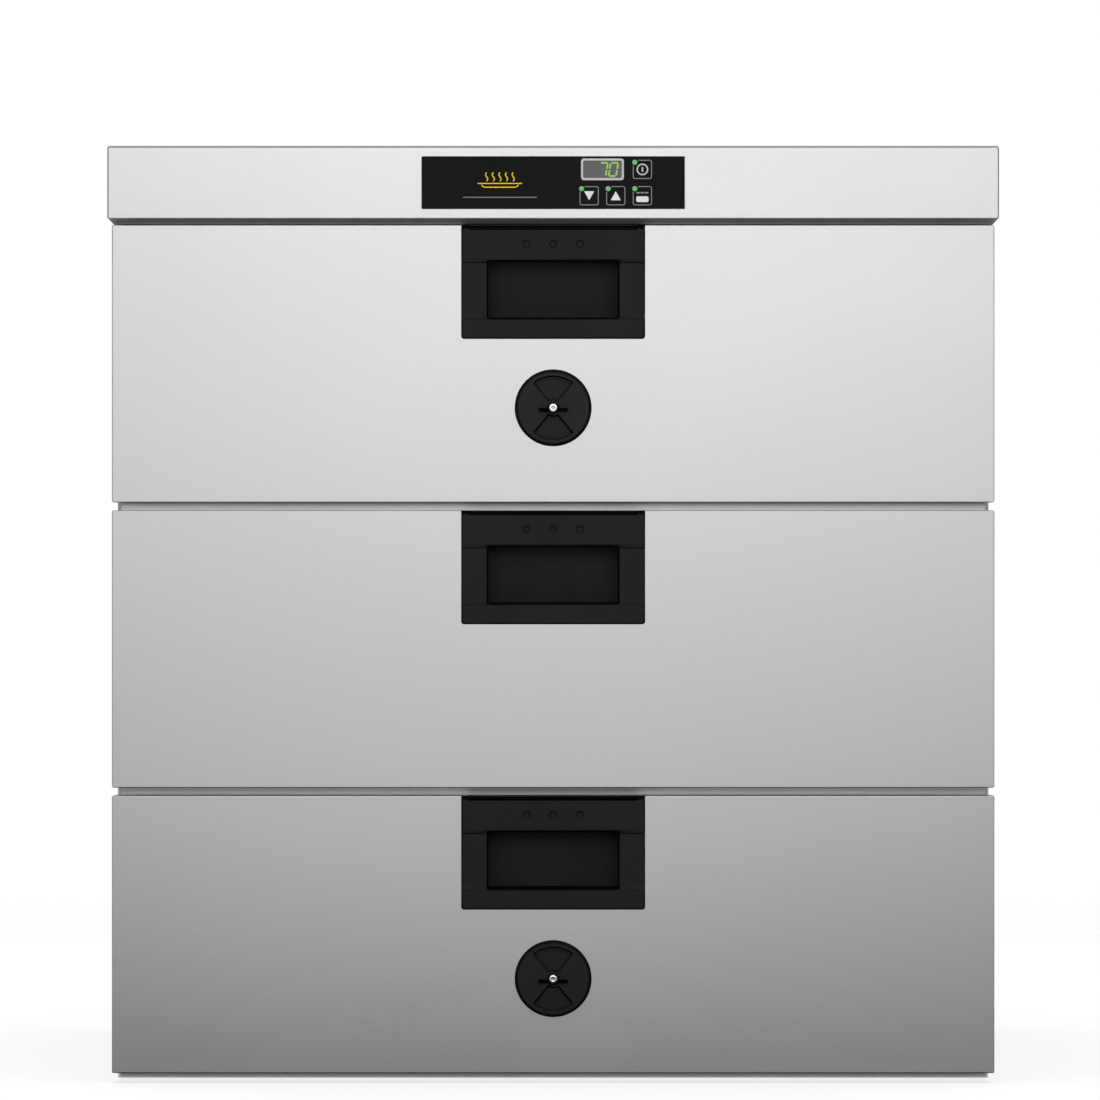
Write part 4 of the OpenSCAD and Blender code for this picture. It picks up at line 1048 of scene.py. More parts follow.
class UNIT_OT_vents(bpy.types.Operator):
    """Makes the round vents: the fixed bases, the turning discs and their rivets"""

    bl_idname = "unit.vents"
    bl_label = "Vents"

    # Each step: the share of the rim's width, and the depth in millimetres
    rim_profile = ((1, 0), (0.92, 0.02), (0.8, 0.2))
    rim_foot = 0.6 * MM
    rim_ease = 0.15 * MM
    floor = 1 * MM
    sleeve_wall = 1.5 * MM
    sleeve_start = 0.5 * MM
    sleeve_edge = 0.4 * MM
    grille_radius = 20.8 * MM
    grille_window = 19.5 * MM
    grille_sheet = 1 * MM
    disc_play = 0.06 * MM
    disc_sheet = 1.7 * MM
    disc_edge = 0.12 * MM
    bore = 2.1 * MM
    hub_rise = 5 * MM
    hub_edge = 1.2 * MM
    wing_root = 3.4 * MM
    wing_reach = 10 * MM
    wing_drop = 1.5 * MM
    wing_half = 1.25 * MM
    wing_chamfer = 1.7 * MM
    # The rolled head: each radius and depth, in millimetres
    rivet_roll = (
        (2.6, 1), (2.95, 0.62), (2.65, 0.18), (2, 0), (1.2, 0.06), (0.7, 0.3), (0.35, 0.9),
    )
    rivet_shank = 2 * MM
    rivet_tail = 3.6 * MM
    tail_sheet = 0.8 * MM

    def execute(self, context):
        for row in VENTED_ROWS:
            at = middle(f"{row}_vent_base")
            self.make_base(row, at)
            self.make_disc(row, at)
            self.make_rivet(row, at)
        return {"FINISHED"}

    def windows(self, at, first_turn, outer):
        """The outlines of two opposite windows"""
        sizes = setting("vent_sizes")
        return [
            sector(sizes.window_inner, outer, sizes.window_half, at, first_turn + turn)
            for turn in (0, math.pi)
        ]

    def make_base(self, row, at):
        sizes = setting("vent_sizes")
        low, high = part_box(f"{row}_vent_base")
        bore = circle(sizes.sleeve - self.sleeve_wall, at)
        flange = circle(high.x - sizes.rim / 2, at)
        grille = FRONT_Y + self.floor
        base = Blank()
        rings = base.rings(circle(high.x, at), self.rim_steps(sizes.rim, low.y))
        base.wrap(rings + rings[:1])
        base.plate(flange, FRONT_Y - self.floor, FRONT_Y - FINE, [bore])
        base.plate(
            circle(sizes.sleeve, at), FRONT_Y - self.sleeve_start, high.y, [bore],
            back_edge=self.sleeve_edge,
        )
        base.plate(
            circle(self.grille_radius, at), grille, grille + self.grille_sheet,
            self.windows(at, 0, self.grille_window), FINE,
        )
        base.piece(f"{row}_vent_housing", black_plastic, f"{row}_drawer", f"{row}_vent_base")

    def rim_steps(self, width, front):
        """The rim: it slopes back steeply from a sharp inner edge"""
        foot = FRONT_Y - self.rim_foot
        return [
            *((width * part, front + depth * MM) for part, depth in self.rim_profile),
            (FINE, foot), (0, foot + self.rim_ease), (0, FRONT_Y), (width, FRONT_Y),
        ]

    def make_disc(self, row, at):
        sizes = setting("vent_sizes")
        low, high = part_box(f"{row}_vent_disc")
        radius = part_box(f"{row}_vent_base")[1].x - sizes.rim - self.disc_play
        face = high.y - self.disc_sheet
        bore = circle(self.bore, at, steps=32)
        disc = Blank().plate(circle(radius, at), face, high.y, [bore], self.disc_edge)
        draft = sizes.window_draft
        disc.cut(*(
            Blank().lathe(window, [
                (0, face - sizes.rim), (0, face), (draft, high.y), (draft, high.y + sizes.rim),
            ])
            for window in self.windows(at, QUARTER, sizes.window_outer)
        ))
        hub_face, hub_back = FRONT_Y - self.hub_rise, high.y - 2 * FINE
        disc.plate(circle(sizes.hub, at), hub_face, hub_back, [bore], self.hub_edge)
        bottom, top = (at[1] - self.wing_drop + side * self.wing_half for side in SIDES)
        root = face + 2 * FINE
        section = polygon([
            (low.y, top), (low.y + self.wing_chamfer, bottom), (root, bottom), (root, top),
        ])
        for side in SIDES:
            ends = [(0, at[0] + side * self.wing_root), (0, at[0] + side * self.wing_reach)]
            disc.join(Blank(facing_side).lathe(section, ends))
        disc.piece(f"{row}_vent_shutter", shutter_plastic, f"{row}_vent", f"{row}_vent_disc")

    def make_rivet(self, row, at):
        """A hollow rivet with a rolled head"""
        low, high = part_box(f"{row}_vent_pivot")
        tail = high.y - self.tail_sheet
        rivet = Blank()
        roll = [(radius * MM, low.y + depth * MM) for radius, depth in self.rivet_roll]
        rings = rivet.wrap(rivet.rounds(at, roll))
        rivet.fill(rings[-1])
        back = rivet.rounds(at, [
            (self.rivet_shank, low.y + 1 * MM), (self.rivet_shank, tail),
            (self.rivet_tail, tail), (self.rivet_tail, high.y),
        ])
        rivet.wrap([rings[0], *back])
        rivet.fill(back[-1])
        rivet.piece(f"{row}_vent_rivet", rivet_steel, f"{row}_drawer", f"{row}_vent_pivot")


class UNIT_OT_hood(bpy.types.Operator):
    """Makes the folded hood over the drawers"""

    bl_idname = "unit.hood"
    bl_label = "Hood"

    bend = 2 * MM
    slope = 3.9 * MM
    corner = 1.2 * MM
    sheet = 1.2 * MM
    ease = 0.35 * MM
    lip_play = 0.3 * MM
    flange_drop = 9 * MM
    flange_top = 0.72 * MM
    flange_play = 0.2 * MM
    fold_play = 0.15 * MM
    aperture_play = 1 * MM

    def execute(self, context):
        low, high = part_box("hood")
        hood = Blank(lying)
        outside, inside = (
            hood.wrap([
                self.path(hood, low, high, *step) for step in self.section(low, high, inset)
            ], closed=False)
            for inset in (0, self.sheet)
        )
        hood.fill(outside[-1])
        hood.fill(inside[-1])
        self.close_back(hood, outside, inside)
        hood.wrap([outside[0], inside[0]], closed=False)
        hood.join(self.rear_flange(high))
        hood.join(self.fold_ends(low, high))
        hood.cut(self.aperture(low))
        hood.piece("hood_cover", brushed_steel, "cabinet", "hood")
        return {"FINISHED"}

    def section(self, low, high, inset):
        """Side inset, front inset and height of each bend, from the lower lip to the top"""
        past_side = high.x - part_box("right_side_panel")[1].x
        past_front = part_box("front_frame")[0].y - low.y
        slope = self.slope + inset * (math.sqrt(2) - 1)
        steps = [
            (past_side - self.lip_play, past_front, low.z + inset),
            (slope, slope, low.z + inset),
            (inset + self.ease, inset + self.ease, low.z + slope - self.ease),
            (inset, inset, low.z + slope + self.ease),
        ]
        for draw, height in reversed(round_edge(high.z - inset, low.z, self.bend - inset)):
            steps.append((inset + draw, inset + draw, height))
        return steps

    def path(self, hood, low, high, side, front, height):
        """One bend, seen from above: up one side, round the front and back down the other side"""
        r = max(self.corner - min(side, front), LEAST_RADIUS)
        half, y = high.x - side, low.y + front
        points = [(-half, high.y), *((u, y + inset) for inset, u in round_edge(-half, 0, r))]
        points += [(-u, v) for u, v in reversed(points)]
        return hood.ring(points, height)

    def close_back(self, hood, outside, inside):
        """The sheet's edge at the back"""
        for end in (0, -1):
            hood.wrap([[a[end], b[end]] for a, b in zip(outside, inside)], closed=False)
        out, into = outside[-1], inside[-1]
        hood.mesh.faces.new((out[0], out[-1], into[-1], into[0]))

    def rear_flange(self, high):
        """The flange that the back panel is screwed to"""
        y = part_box("back_panel")[0].y
        half = high.x - self.sheet - self.flange_play
        return Blank().box(
            (-half, y - self.sheet, high.z - self.sheet - self.flange_drop),
            (half, y, high.z - self.flange_top),
        )

    def fold_ends(self, low, high):
        """Two small plates that close the side folds at the back"""
        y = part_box("back_panel")[0].y
        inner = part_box("right_side_panel")[1].x + self.fold_play
        outer, bottom, top = high.x - self.sheet / 2, low.z + self.sheet / 2, high.z - self.bend
        corner = [
            (inner, bottom), (high.x - self.slope, bottom), (outer, low.z + self.slope),
            (outer, top), (inner, top),
        ]
        ends = Blank()
        for side in SIDES:
            ends.plate(polygon([(side * u, v) for u, v in corner]), y - self.sheet, y - FINE)
        return ends

    def aperture(self, low):
        """The opening behind the fascia"""
        board_low, board_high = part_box("control_board")
        past = self.aperture_play
        return Blank().box(
            (board_low.x - past, low.y - past, board_low.z - past),
            (board_high.x + past, low.y + 2 * self.sheet, board_high.z + past),
        )


class UNIT_OT_controls(bpy.types.Operator):
    """Makes the fascia's print, the display and the indicator lamps"""

    bl_idname = "unit.controls"
    bl_label = "Controls"

    fascia_edge = 0.15 * MM
    lamp_side = 5.3 * MM
    lamp_up = 4.9 * MM
    lamp_radius = 1.75 * MM
    # Each step: the share of the lamp's radius, and the depth in millimetres
    lamp_dome = ((1, 0.1), (1, -0.12), (0.9, -0.26), (0.65, -0.36), (0.3, -0.4))
    lamp_clear = 0.45 * MM
    frame_half = 6.35 * MM
    frame_corner = 1.2 * MM
    power_radius = 3.6 * MM
    power_line = 0.95 * MM
    triangle_half = 3.5 * MM
    triangle_height = 6.3 * MM
    # Each bar: half its width, half its height, and its corner radius
    power_bar = (0.55 * MM, 1.75 * MM, 0.5 * MM)
    start_bar = (4.3 * MM, 2 * MM, 1.2 * MM)
    start_drop = 2.4 * MM
    dash_bar = (1.3 * MM, 0.5 * MM, 0.4 * MM)
    dash_pitch = 2.9 * MM
    dash_rise = 2.1 * MM
    bezel_width = 1.5 * MM
    bezel_corner = 2 * MM
    bezel_window_corner = 1 * MM
    bezel_edge = 0.3 * MM
    bezel_proud = 0.15 * MM
    bezel_short = 0.4 * MM
    pane_corner = 0.5 * MM
    pane_drop = 0.2 * MM
    digit_start = 0.15 * MM
    digit_end = 0.22 * MM
    digit_pitch = 7.2 * MM
    digit_side = 7.6 * MM
    digit_half = 2.6 * MM
    digit_bar = 1.15 * MM
    digit_gap = 0.16 * MM
    digit_lean = math.radians(10)
    emblem_x = -37 * MM
    emblem_line = 0.7 * MM
    # The left half of the dish, across and up, in millimetres
    dish = ((-13, 1.9), (-11.8, 0.35), (-10.4, 0))
    dish_drop = 3.2 * MM
    cover_rise = 2.6 * MM
    cover_half = 15.4 * MM
    wave_pitch = 4.6 * MM
    wave_swing = 0.75 * MM
    wave_low = 4.2 * MM
    wave_height = 6 * MM
    wave_steps = 16
    rule_half = 25.7 * MM
    rule_drop = 10.2 * MM
    rule_line = 0.55 * MM

    # The ends of each bar of a digit, in halves of its width and height
    segments = {
        "a": ((-1, 1), (1, 1)), "b": ((1, 1), (1, 0)), "c": ((1, 0), (1, -1)),
        "d": ((-1, -1), (1, -1)), "e": ((-1, -1), (-1, 0)), "f": ((-1, 0), (-1, 1)),
        "g": ((-1, 0), (1, 0)),
    }
    # The bars that each digit lights, from 0 to 9
    lit = ("abcdef", "bc", "abdeg", "abcdg", "bcfg", "acdfg", "acdefg", "abc", "abcdefg", "abcdfg")

    def execute(self, context):
        dress("control_fascia", fascia_black, self.fascia_edge)
        for key in KEYS:
            dress(f"{key}_key", fascia_black, FINE)
            self.make_lamp(key)
            self.make_key_print(key)
        self.make_display()
        self.make_emblem()
        return {"FINISHED"}

    def make_lamp(self, key):
        """A small lens over the end of the light pipe"""
        x, z = middle(f"{key}_key")
        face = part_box(f"{key}_key")[0].y
        lamp = Blank()
        lamp.close(lamp.rounds((x - self.lamp_side, z + self.lamp_up), [
            (self.lamp_radius * part, face + depth * MM) for part, depth in self.lamp_dome
        ], steps=40))
        lamp.piece(f"{key}_lamp", lamp_glow, "cabinet")

    def make_key_print(self, key):
        sizes = setting("control_sizes")
        x, z = at = middle(f"{key}_key")
        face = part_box(f"{key}_key")[0].y
        layer = (face - sizes.ink, face)
        half = self.frame_half
        outline = rounded(half, half, self.frame_corner, at)(0)
        lamp = Vector((x - self.lamp_side, z + self.lamp_up))
        clear = self.lamp_radius + self.lamp_clear
        first = next(i for i, p in enumerate(outline) if (Vector(p) - lamp).length < clear)
        turned = outline[first:] + outline[:first]
        far = [p for p in turned if (Vector(p) - lamp).length >= clear]
        path = [(x - half, lamp.y - clear), *far, (lamp.x + clear, z + half)]
        border = Blank().line(path, sizes.line, *layer)
        if key == "start":
            self.draw_dashes(border, at, *layer)
        border.piece(f"{key}_key_frame", grey_ink, f"{key}_button")
        symbol = Blank()
        getattr(self, f"draw_{key}")(symbol, at, *layer)
        finish = silver_ink if key == "power" else white_ink
        symbol.piece(f"{key}_key_symbol", finish, f"{key}_button")

    def draw_power(self, blank, at, start, face):
        """A bar in a circle"""
        around = circle(self.power_radius, at, steps=48)(0)
        blank.line(around, self.power_line, start, face, closed=True)
        blank.plate(rounded(*self.power_bar, at), start, face)

    def draw_up(self, blank, at, start, face, way=1):
        """A triangle"""
        half, rise = self.triangle_half, way * self.triangle_height / 2
        corners = ((-half, -rise), (half, -rise), (0, rise))
        blank.plate(polygon([(at[0] + u, at[1] + v) for u, v in corners]), start, face)

    def draw_down(self, blank, at, start, face):
        self.draw_up(blank, at, start, face, -1)

    def draw_start(self, blank, at, start, face):
        """A plain bar"""
        blank.plate(rounded(*self.start_bar, (at[0], at[1] - self.start_drop)), start, face)

    def draw_dashes(self, blank, at, start, face):
        """Three short dashes"""
        for i in (-1, 0, 1):
            dash = (at[0] + i * self.dash_pitch, at[1] + self.dash_rise)
            blank.plate(rounded(*self.dash_bar, dash), start, face)

    def make_display(self):
        low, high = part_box("display_window")
        x, z = at = middle("display_window")
        half_w, half_h = (high.x - low.x) / 2, (high.z - low.z) / 2

        def panel(border, corner):
            return rounded(half_w - border, half_h - border, corner, at)

        bezel = Blank().plate(
            panel(0, self.bezel_corner), low.y - self.bezel_proud, high.y - self.bezel_short,
            [panel(self.bezel_width, self.bezel_window_corner)], self.bezel_edge,
        )
        bezel.piece("display_bezel", silver_ink, "cabinet")
        pane = panel(self.bezel_width / 2, self.pane_corner)
        lens = Blank().plate(pane, low.y + self.pane_drop, high.y)
        lens.piece("display_pane", display_lens, "cabinet", "display_window")
        digits = Blank()
        start, end = low.y + self.digit_start, low.y + self.digit_end
        for place, digit in enumerate(reversed(str(setting("control_sizes").reading))):
            right = x + self.digit_side - place * self.digit_pitch
            self.draw_digit(digits, int(digit), (right, z), start, end)
        digits.piece("display_digits", digit_glow, "cabinet")

    def draw_digit(self, blank, digit, at, start, end):
        """Seven slanted bars, of which the digit lights some"""
        half_w, half_h = self.digit_half, setting("control_sizes").digit_height / 2
        lean = math.tan(self.digit_lean)
        for name in self.lit[digit]:
            first, last = (Vector((u * half_w, v * half_h)) for u, v in self.segments[name])
            way = (last - first).normalized()
            side = Vector((-way.y, way.x)) * self.digit_bar / 2
            first, last = first + way * self.digit_gap, last - way * self.digit_gap
            tip = way * self.digit_bar / 2
            points = [
                first, first + tip + side, last - tip + side,
                last, last - tip - side, first + tip - side,
            ]
            points = [(at[0] + p.x + p.y * lean, at[1] + p.y) for p in points]
            blank.plate(polygon(points), start, end)

    def make_emblem(self):
        """A line drawing on the left of the fascia: warm air over a dish, and a rule below it"""
        sizes = setting("control_sizes")
        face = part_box("control_fascia")[0].y
        layer = (face - sizes.ink, face)
        x, z = self.emblem_x, middle("control_fascia")[1]
        dish_z = z - self.dish_drop
        drawing = Blank()
        dish = [(u * MM, v * MM) for u, v in self.dish]
        dish += [(-u, v) for u, v in reversed(dish)]
        cover = [(side * self.cover_half, self.cover_rise) for side in SIDES]
        parts = [i / self.wave_steps for i in range(self.wave_steps + 1)]
        waves = [[
            (place * self.wave_pitch + self.wave_swing * math.sin(2 * math.pi * part),
             self.wave_low + self.wave_height * part)
            for part in parts
        ] for place in (-2, -1, 0, 1, 2)]
        for path in (dish, cover, *waves):
            drawing.line([(x + u, dish_z + v) for u, v in path], self.emblem_line, *layer)
        drawing.piece("fascia_emblem", emblem_ink, "cabinet")
        rule_z = z - self.rule_drop
        ends = [(x + side * self.rule_half, rule_z) for side in SIDES]
        Blank().line(ends, self.rule_line, *layer).piece("fascia_rule", grey_ink, "cabinet")


class UNIT_OT_drawers(bpy.types.Operator):
    """Makes the pans and the gaskets, and finishes the rest of the drawers"""

    bl_idname = "unit.drawers"
    bl_label = "Drawers"

    # The finish of each node, and the radius of its edges
    finishes = {
        "inner_panel": (brushed_steel, 0.3 * MM),
        "drawer_frame": (brushed_steel, 0.3 * MM),
        "drawer_rails": (zinc_steel, 0.2 * MM),
        "slide_middles": (zinc_steel, 0.2 * MM),
        "fixings": (rivet_steel, 0.3 * MM),
        "front_insulation": (mineral_wool, 0),
    }
    pan_lip = 0.4 * MM
    inner_shoulder = 3 * MM
    outer_shoulder = 2.5 * MM
    gasket_width = 7.5 * MM
    gasket_corner = 9 * MM
    gasket_inner_corner = 3 * MM
    gasket_edge = 0.3 * MM
    gasket_back_edge = 2.4 * MM

    def execute(self, context):
        for row in ROWS:
            self.make_pan(row)
            self.make_gasket(row)
            for node, (finish, edge) in self.finishes.items():
                dress(f"{row}_{node}", finish, edge)
        return {"FINISHED"}

    def make_pan(self, row):
        """A drawn pan: a flat rim, a soft shoulder, walls that lean in and a round base edge"""
        sizes = setting("pan_sizes")
        low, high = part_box(f"{row}_pan")
        centre = ((low.x + high.x) / 2, (low.y + high.y) / 2)
        half_x, half_y = (high.x - low.x) / 2, (high.y - low.y) / 2
        rim = rounded(half_x, half_y, sizes.rim_corner, centre, steps=12)
        well = rounded(
            half_x - sizes.rim, half_y - sizes.rim, sizes.well_corner, centre, steps=12
        )
        sheet, top, base, lip = sizes.sheet, high.z, low.z, self.pan_lip
        inside = self.wall_steps(sheet, top, base + sheet, sizes, self.inner_shoulder)
        outside = self.wall_steps(0, top - sheet, base, sizes, self.outer_shoulder)
        pan = Blank(lying)
        pan.close([
            *pan.rings(well, inside),
            *pan.rings(rim, [(lip, top), (0, top - sheet / 2), (lip, top - sheet)]),
            *pan.rings(well, reversed(outside)),
        ])
        pan.piece(f"{row}_food_pan", pan_steel, f"{row}_drawer", f"{row}_pan")

    def wall_steps(self, inset, top, base, sizes, shoulder):
        """One face of the pan's wall, from the middle of the base up to the rim"""
        bend = round_edge(base, top, sizes.base_radius - inset, steps=8)
        roll = round_edge(inset, inset - shoulder, shoulder, steps=5)
        return [
            *((inset + sizes.taper + draw, z) for draw, z in bend),
            *((draw, top - drop) for drop, draw in roll),
        ]

    def make_gasket(self, row):
        """A soft ring with a round face"""
        low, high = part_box(f"{row}_gasket")
        width, centre = self.gasket_width, middle(f"{row}_gasket")
        half_u, half_v = high.x, (high.z - low.z) / 2
        outer = rounded(half_u, half_v, self.gasket_corner, centre, steps=8)
        inner = rounded(
            half_u - width, half_v - width, self.gasket_inner_corner, centre, steps=8
        )
        ring = Blank().plate(
            outer, low.y, high.y, [inner], self.gasket_edge, self.gasket_back_edge
        )
        ring.piece(f"{row}_gasket_ring", gasket_rubber, f"{row}_drawer", f"{row}_gasket")


class UNIT_OT_cabinet(bpy.types.Operator):
    """Finishes the cabinet, its inside, its feet and what is on its back"""

    bl_idname = "unit.cabinet"
    bl_label = "Cabinet"

    # The finish of each node, and the radius of its edges
    finishes = {
        "left_side_panel": (brushed_steel, 0.25 * MM),
        "right_side_panel": (brushed_steel, 0.25 * MM),
        "front_frame": (brushed_steel, 0.25 * MM),
        "back_panel": (brushed_steel, 0),
        "deck_panel": (chamber_steel, 0),
        "base_panel": (chamber_steel, 0.25 * MM),
        "chamber_liner": (chamber_steel, 0),
        "chamber_insulation": (mineral_wool, 0),
        "cabinet_rails": (zinc_steel, 0.2 * MM),
        "heating_elements": (heater_steel, 0),
        "temperature_probes": (rivet_steel, 0),
        "wiring_harness": (wire_sleeve, 0),
        "power_unit": (zinc_steel, 0.4 * MM),
        "control_board": (circuit_board, 0.1 * MM),
        "feet": (foot_rubber, 0.5 * MM),
    }
    screws_apart = 12 * MM
    screw_head = 3.8 * MM
    screw_shank = 2 * MM
    screw_dome = 1.3 * MM
    recess_arm = 1.9 * MM
    recess_half = 0.42 * MM
    recess_draft = 0.12 * MM
    recess_depth = 1.1 * MM
    gland_bore = 4.75 * MM
    gland_thread = 8 * MM
    lock_nut = 4 * MM
    gland_hexagon = 7 * MM
    cap_radius = 9.5 * MM
    rib_radius = 0.45 * MM
    rib_start = 0.4 * MM
    rib_end = 4 * MM
    ribs = 24

    def execute(self, context):
        for node, (finish, edge) in self.finishes.items():
            dress(node, finish, edge)
        self.make_screws()
        self.make_gland()
        return {"FINISHED"}

    def screw_places(self):
        """The middle of each screw head, read from the node's separate solids"""
        heads = []
        corners = [vert.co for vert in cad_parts["casing_screws"].data.vertices]
        head_back = max(corner.y for corner in corners)
        for corner in corners:
            if corner.y > head_back - FINE:
                same = [head for head in heads if (head[0] - corner).length < self.screws_apart]
                if same:
                    same[0].append(corner)
                else:
                    heads.append([corner])
        return [self.middle_of(head) for head in heads]

    def middle_of(self, points):
        """The middle of some points, seen from behind"""
        across = [point.x for point in points]
        up = [point.z for point in points]
        return (min(across) + max(across)) / 2, (min(up) + max(up)) / 2

    def make_screws(self):
        """Pan-head screws with a cross recess"""
        low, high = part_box("casing_screws")
        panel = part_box("back_panel")[1].y
        dome = [*round_edge(high.y, panel, self.screw_dome), (0, panel)]
        recess = [(0, high.y), (self.recess_draft, high.y - self.recess_depth)]
        screws = Blank()
        for at in self.screw_places():
            rings = screws.wrap(screws.rings(circle(self.screw_head, at, steps=40), dome))
            arms = cross(self.recess_arm, self.recess_half, at)
            slot = screws.wrap(screws.rings(arms, recess))
            screws.fill(rings[0], slot[0])
            screws.fill(slot[1])
            screws.fill(rings[-1])
            screws.plate(circle(self.screw_shank, at, steps=24), low.y, panel)
        screws.piece("casing_screw_set", rivet_steel, "cabinet", "casing_screws")

    def make_gland(self):
        """A cable gland: a lock nut inside, a hexagon outside and a ribbed cap"""
        low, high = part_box("cable_gland")
        inner, outer = (corner.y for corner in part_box("back_panel"))
        at = middle("cable_gland")
        bore = circle(self.gland_bore, at, steps=48)
        thread = circle(self.gland_thread, at, steps=48)
        hexagon = circle((high.x - low.x) / 2, at, steps=6)
        cap = circle(self.cap_radius, at, steps=64)
        cap_start = outer + self.gland_hexagon - 2 * FINE
        gland = Blank()
        gland.plate(thread, low.y, outer + 1 * MM, [bore], edge=0.4 * MM)
        gland.plate(
            hexagon, inner - self.lock_nut, inner, [bore], edge=0.5 * MM, back_edge=0.5 * MM
        )
        gland.plate(
            hexagon, outer, outer + self.gland_hexagon, [bore], edge=0.3 * MM, back_edge=0.9 * MM
        )
        gland.plate(cap, cap_start, high.y, [bore], edge=0.2 * MM, back_edge=3.2 * MM)
        for place in circle(self.cap_radius - FINE, at, self.ribs)(0):
            rib = circle(self.rib_radius, place, steps=8)
            start, end = cap_start + self.rib_start, high.y - self.rib_end
            gland.plate(rib, start, end, edge=0.1 * MM, back_edge=0.3 * MM)
        gland.piece("cable_gland_body", black_plastic, "cabinet", "cable_gland")


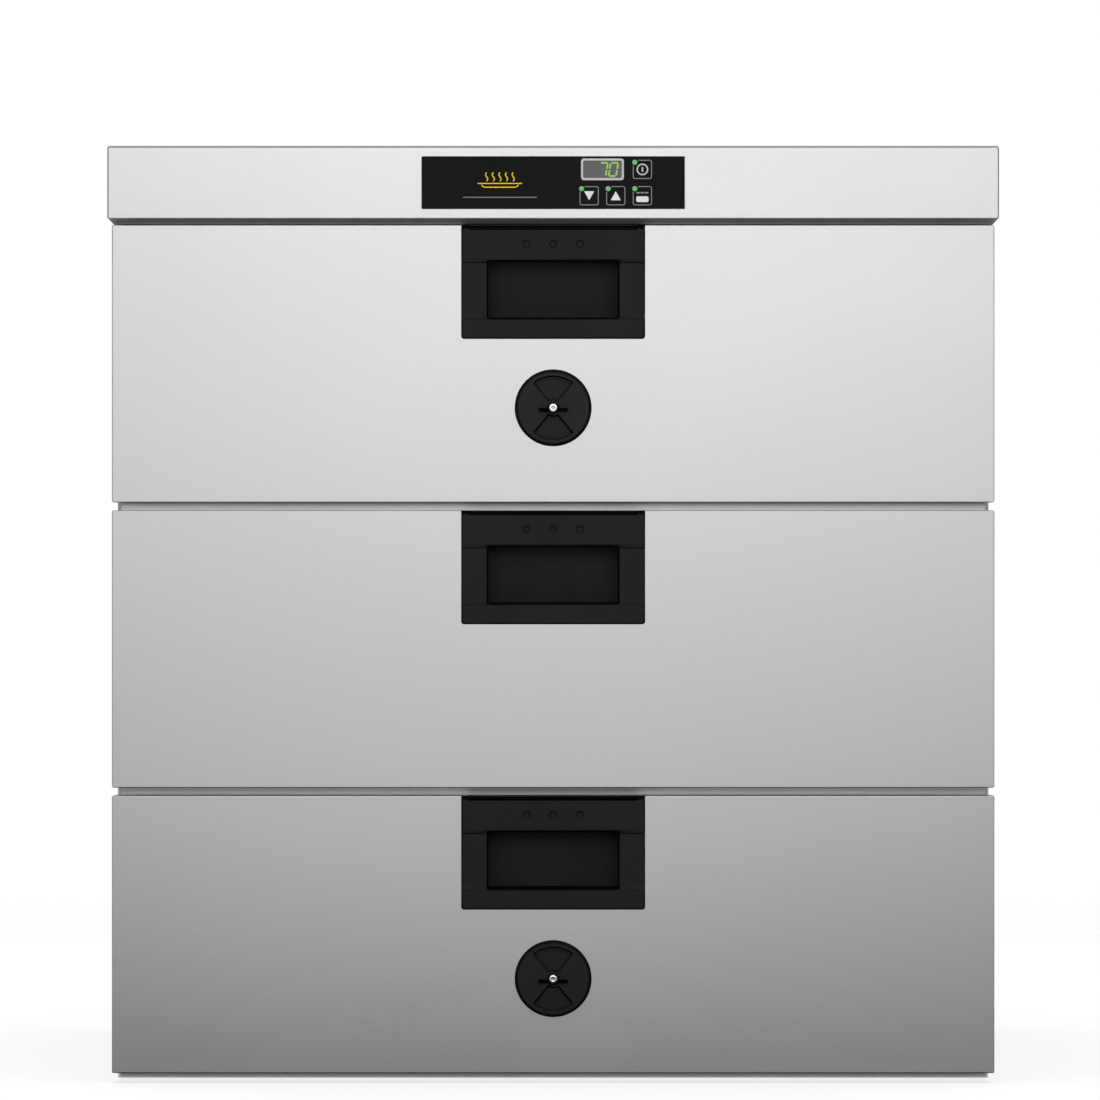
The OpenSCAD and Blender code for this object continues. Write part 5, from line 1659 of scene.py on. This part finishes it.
class UNIT_OT_studio(bpy.types.Operator):
    """Sets the floor, the lamps, the room and the camera"""

    bl_idname = "unit.studio"
    bl_label = "Studio"

    whiteness = 0.75
    floor_radii = (2.4, 1.2, 0.6)
    floor_tones = (0.79, 0.83)
    floor_fade = (0.9, 2.2)
    # The black card that paints a dark reflection in the unit's steel
    flag_past = 0.6
    flag_half = 0.62
    flag_corner = 0.02
    flag_near = -20 * MM
    flag_height = 1.5 * MM
    flag_middle = -0.06
    flag_spread = 0.6
    flag_fade = (0.25, 0.95)
    ceiling_rise = (0.5, 0.9)
    backdrop_rise = (0.9, 0.975)
    sensor = 36

    def execute(self, context):
        studio = setting("studio")
        self.make_floor()
        self.make_flag()
        self.make_room(studio)
        self.make_lamp(
            "key_lamp", studio.key_power,
            place=(0.05, -2.6, 0.95), target=(0, -0.25, 0.5), size=(1.8, 0.9),
        )
        floor_lamp = self.make_lamp(
            "floor_lamp", studio.floor_power,
            place=(0, -0.1, 2.5), target=(0, 0, 0), size=(3.2, 2.8),
        )
        floor_lamp.visible_glossy = False
        self.make_camera(studio)
        return {"FINISHED"}

    def make_floor(self):
        """A pale round floor that fades out towards its edge"""
        floor = Blank(lying)
        rings = floor.rounds((0, 0), [(radius, 0) for radius in self.floor_radii], steps=96)
        floor.wrap(rings)
        floor.fill(rings[-1])
        graph, obj = self.stage_piece("studio_floor", floor)
        colour = graph.tones(graph.spots(40, detail=3), WHITE, *self.floor_tones)
        pale = graph.node("ShaderNodeBsdfDiffuse", None, {"Color": colour})
        white = graph.node("ShaderNodeEmission", None, {"Color": rgba(WHITE), "Strength": 1})
        rays = [
            graph.node("ShaderNodeLightPath", output=name)
            for name in ("Is Camera Ray", "Is Glossy Ray", "Is Transmission Ray")
        ]
        seen = sum(rays).clamped() * self.whiteness
        surface = graph.node("ShaderNodeMixShader", None, {0: seen, 1: pale, 2: white})
        x, y, z = graph.place()
        self.fade(graph, surface, (x * x + y * y).root().rise(*self.floor_fade))

    def make_flag(self):
        """A black card low over the floor that only the unit's sheen shows: a painted dark
        reflection in the steel, over a floor that stays pale
        """
        low, high = CAD_BOX
        flag = Blank(lying)
        middle_y = low.y - self.flag_near - self.flag_half
        rim = rounded(high.x + self.flag_past, self.flag_half, self.flag_corner, (0, middle_y))
        flag.fill(*flag.rings(rim, [(0, self.flag_height)]))
        graph, obj = self.stage_piece("studio_reflection_card", flag)
        x, y, z = graph.place()
        black = graph.node("ShaderNodeBsdfDiffuse", None, {"Color": rgba(BLACK)})
        # The painted reflection fades out further in front of the unit and further to each side of a
        # line just left of the middle
        away = low.y - y - abs(x - self.flag_middle) * self.flag_spread
        self.fade(graph, black, away.rise(*self.flag_fade))
        for ray in ("camera", "diffuse", "transmission", "volume_scatter", "shadow"):
            setattr(obj, f"visible_{ray}", False)

    def stage_piece(self, name, blank):
        """An object of the stage, with the graph of a material of its own"""
        obj = new_object(name, blank.to_data(name))
        graph, material = new_material(name)
        obj.data.materials.append(material)
        return graph, obj

    def fade(self, graph, shader, away):
        """Fades a shader out where away nears 1"""
        clear = graph.node("ShaderNodeBsdfTransparent")
        mixed = graph.node("ShaderNodeMixShader", None, {0: away, 1: shader, 2: clear})
        graph.node("ShaderNodeOutputMaterial", None, {"Surface": mixed})

    def make_room(self, studio):
        """An even room with a white backdrop behind the unit"""
        world = bpy.data.worlds.new("studio_room")
        bpy.context.scene.world = world
        world.use_nodes = True
        graph = Graph(world.node_tree)
        way = graph.node("ShaderNodeTexCoord", output="Generated")
        depth, height = (
            graph.node("ShaderNodeSeparateXYZ", None, {0: way}, axis) for axis in (1, 2)
        )
        walls = graph.tones(height.rise(*self.ceiling_rise), WHITE, studio.room, studio.ceiling)
        colour = graph.blend(depth.rise(*self.backdrop_rise), walls, WHITE)
        shader = graph.node("ShaderNodeBackground", None, {"Color": colour, "Strength": 1})
        graph.node("ShaderNodeOutputWorld", None, {"Surface": shader})

    def make_lamp(self, name, power, place, target, size):
        lamp = bpy.data.lights.new(name, "AREA")
        lamp.shape = "RECTANGLE"
        lamp.size, lamp.size_y = size
        lamp.energy = power
        obj = new_object(name, lamp)
        obj.location = place
        way = Vector(target) - Vector(place)
        obj.rotation_euler = way.to_track_quat("-Z", "Y").to_euler()
        obj.visible_camera = False
        return obj

    def make_camera(self, studio):
        camera = bpy.data.cameras.new("camera")
        camera.sensor_width = self.sensor
        camera.lens = self.sensor * studio.distance / studio.view_width
        obj = new_object("camera", camera)
        obj.location = (studio.eye_shift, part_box("hood")[0].y - studio.distance, studio.eye_height)
        obj.rotation_euler = (QUARTER, 0, 0)
        bpy.context.scene.camera = obj
        bpy.context.scene.view_settings.view_transform = "Standard"


class UNIT_PT_panel(bpy.types.Panel):
    """Lists the sizes and the steps"""

    bl_idname = "UNIT_PT_panel"
    bl_label = "Warming Drawer"
    bl_space_type = "VIEW_3D"
    bl_region_type = "UI"
    bl_category = "Warming Drawer"

    def draw(self, context):
        for name, group in SETTINGS.items():
            box = self.layout.box()
            box.label(text=group.__doc__)
            for prop in group.__annotations__:
                box.prop(getattr(context.scene, name), prop)
        for operator in OPERATORS:
            self.layout.operator(operator.bl_idname)


OPERATORS = (
    UNIT_OT_fronts, UNIT_OT_handles, UNIT_OT_vents, UNIT_OT_hood, UNIT_OT_controls,
    UNIT_OT_drawers, UNIT_OT_cabinet, UNIT_OT_studio,
)


def register():
    for cls in (*SETTINGS.values(), *OPERATORS, UNIT_PT_panel):
        bpy.utils.register_class(cls)
    for name, group in SETTINGS.items():
        setattr(bpy.types.Scene, name, PointerProperty(type=group))


def unregister():
    for name in SETTINGS:
        delattr(bpy.types.Scene, name)
    for cls in (UNIT_PT_panel, *reversed(OPERATORS), *reversed(SETTINGS.values())):
        bpy.utils.unregister_class(cls)


def main():
    register()
    bpy.ops.unit.fronts()
    bpy.ops.unit.handles()
    bpy.ops.unit.vents()
    bpy.ops.unit.hood()
    bpy.ops.unit.controls()
    bpy.ops.unit.drawers()
    bpy.ops.unit.cabinet()
    bpy.ops.unit.studio()


if __name__ == "__main__":
    main()
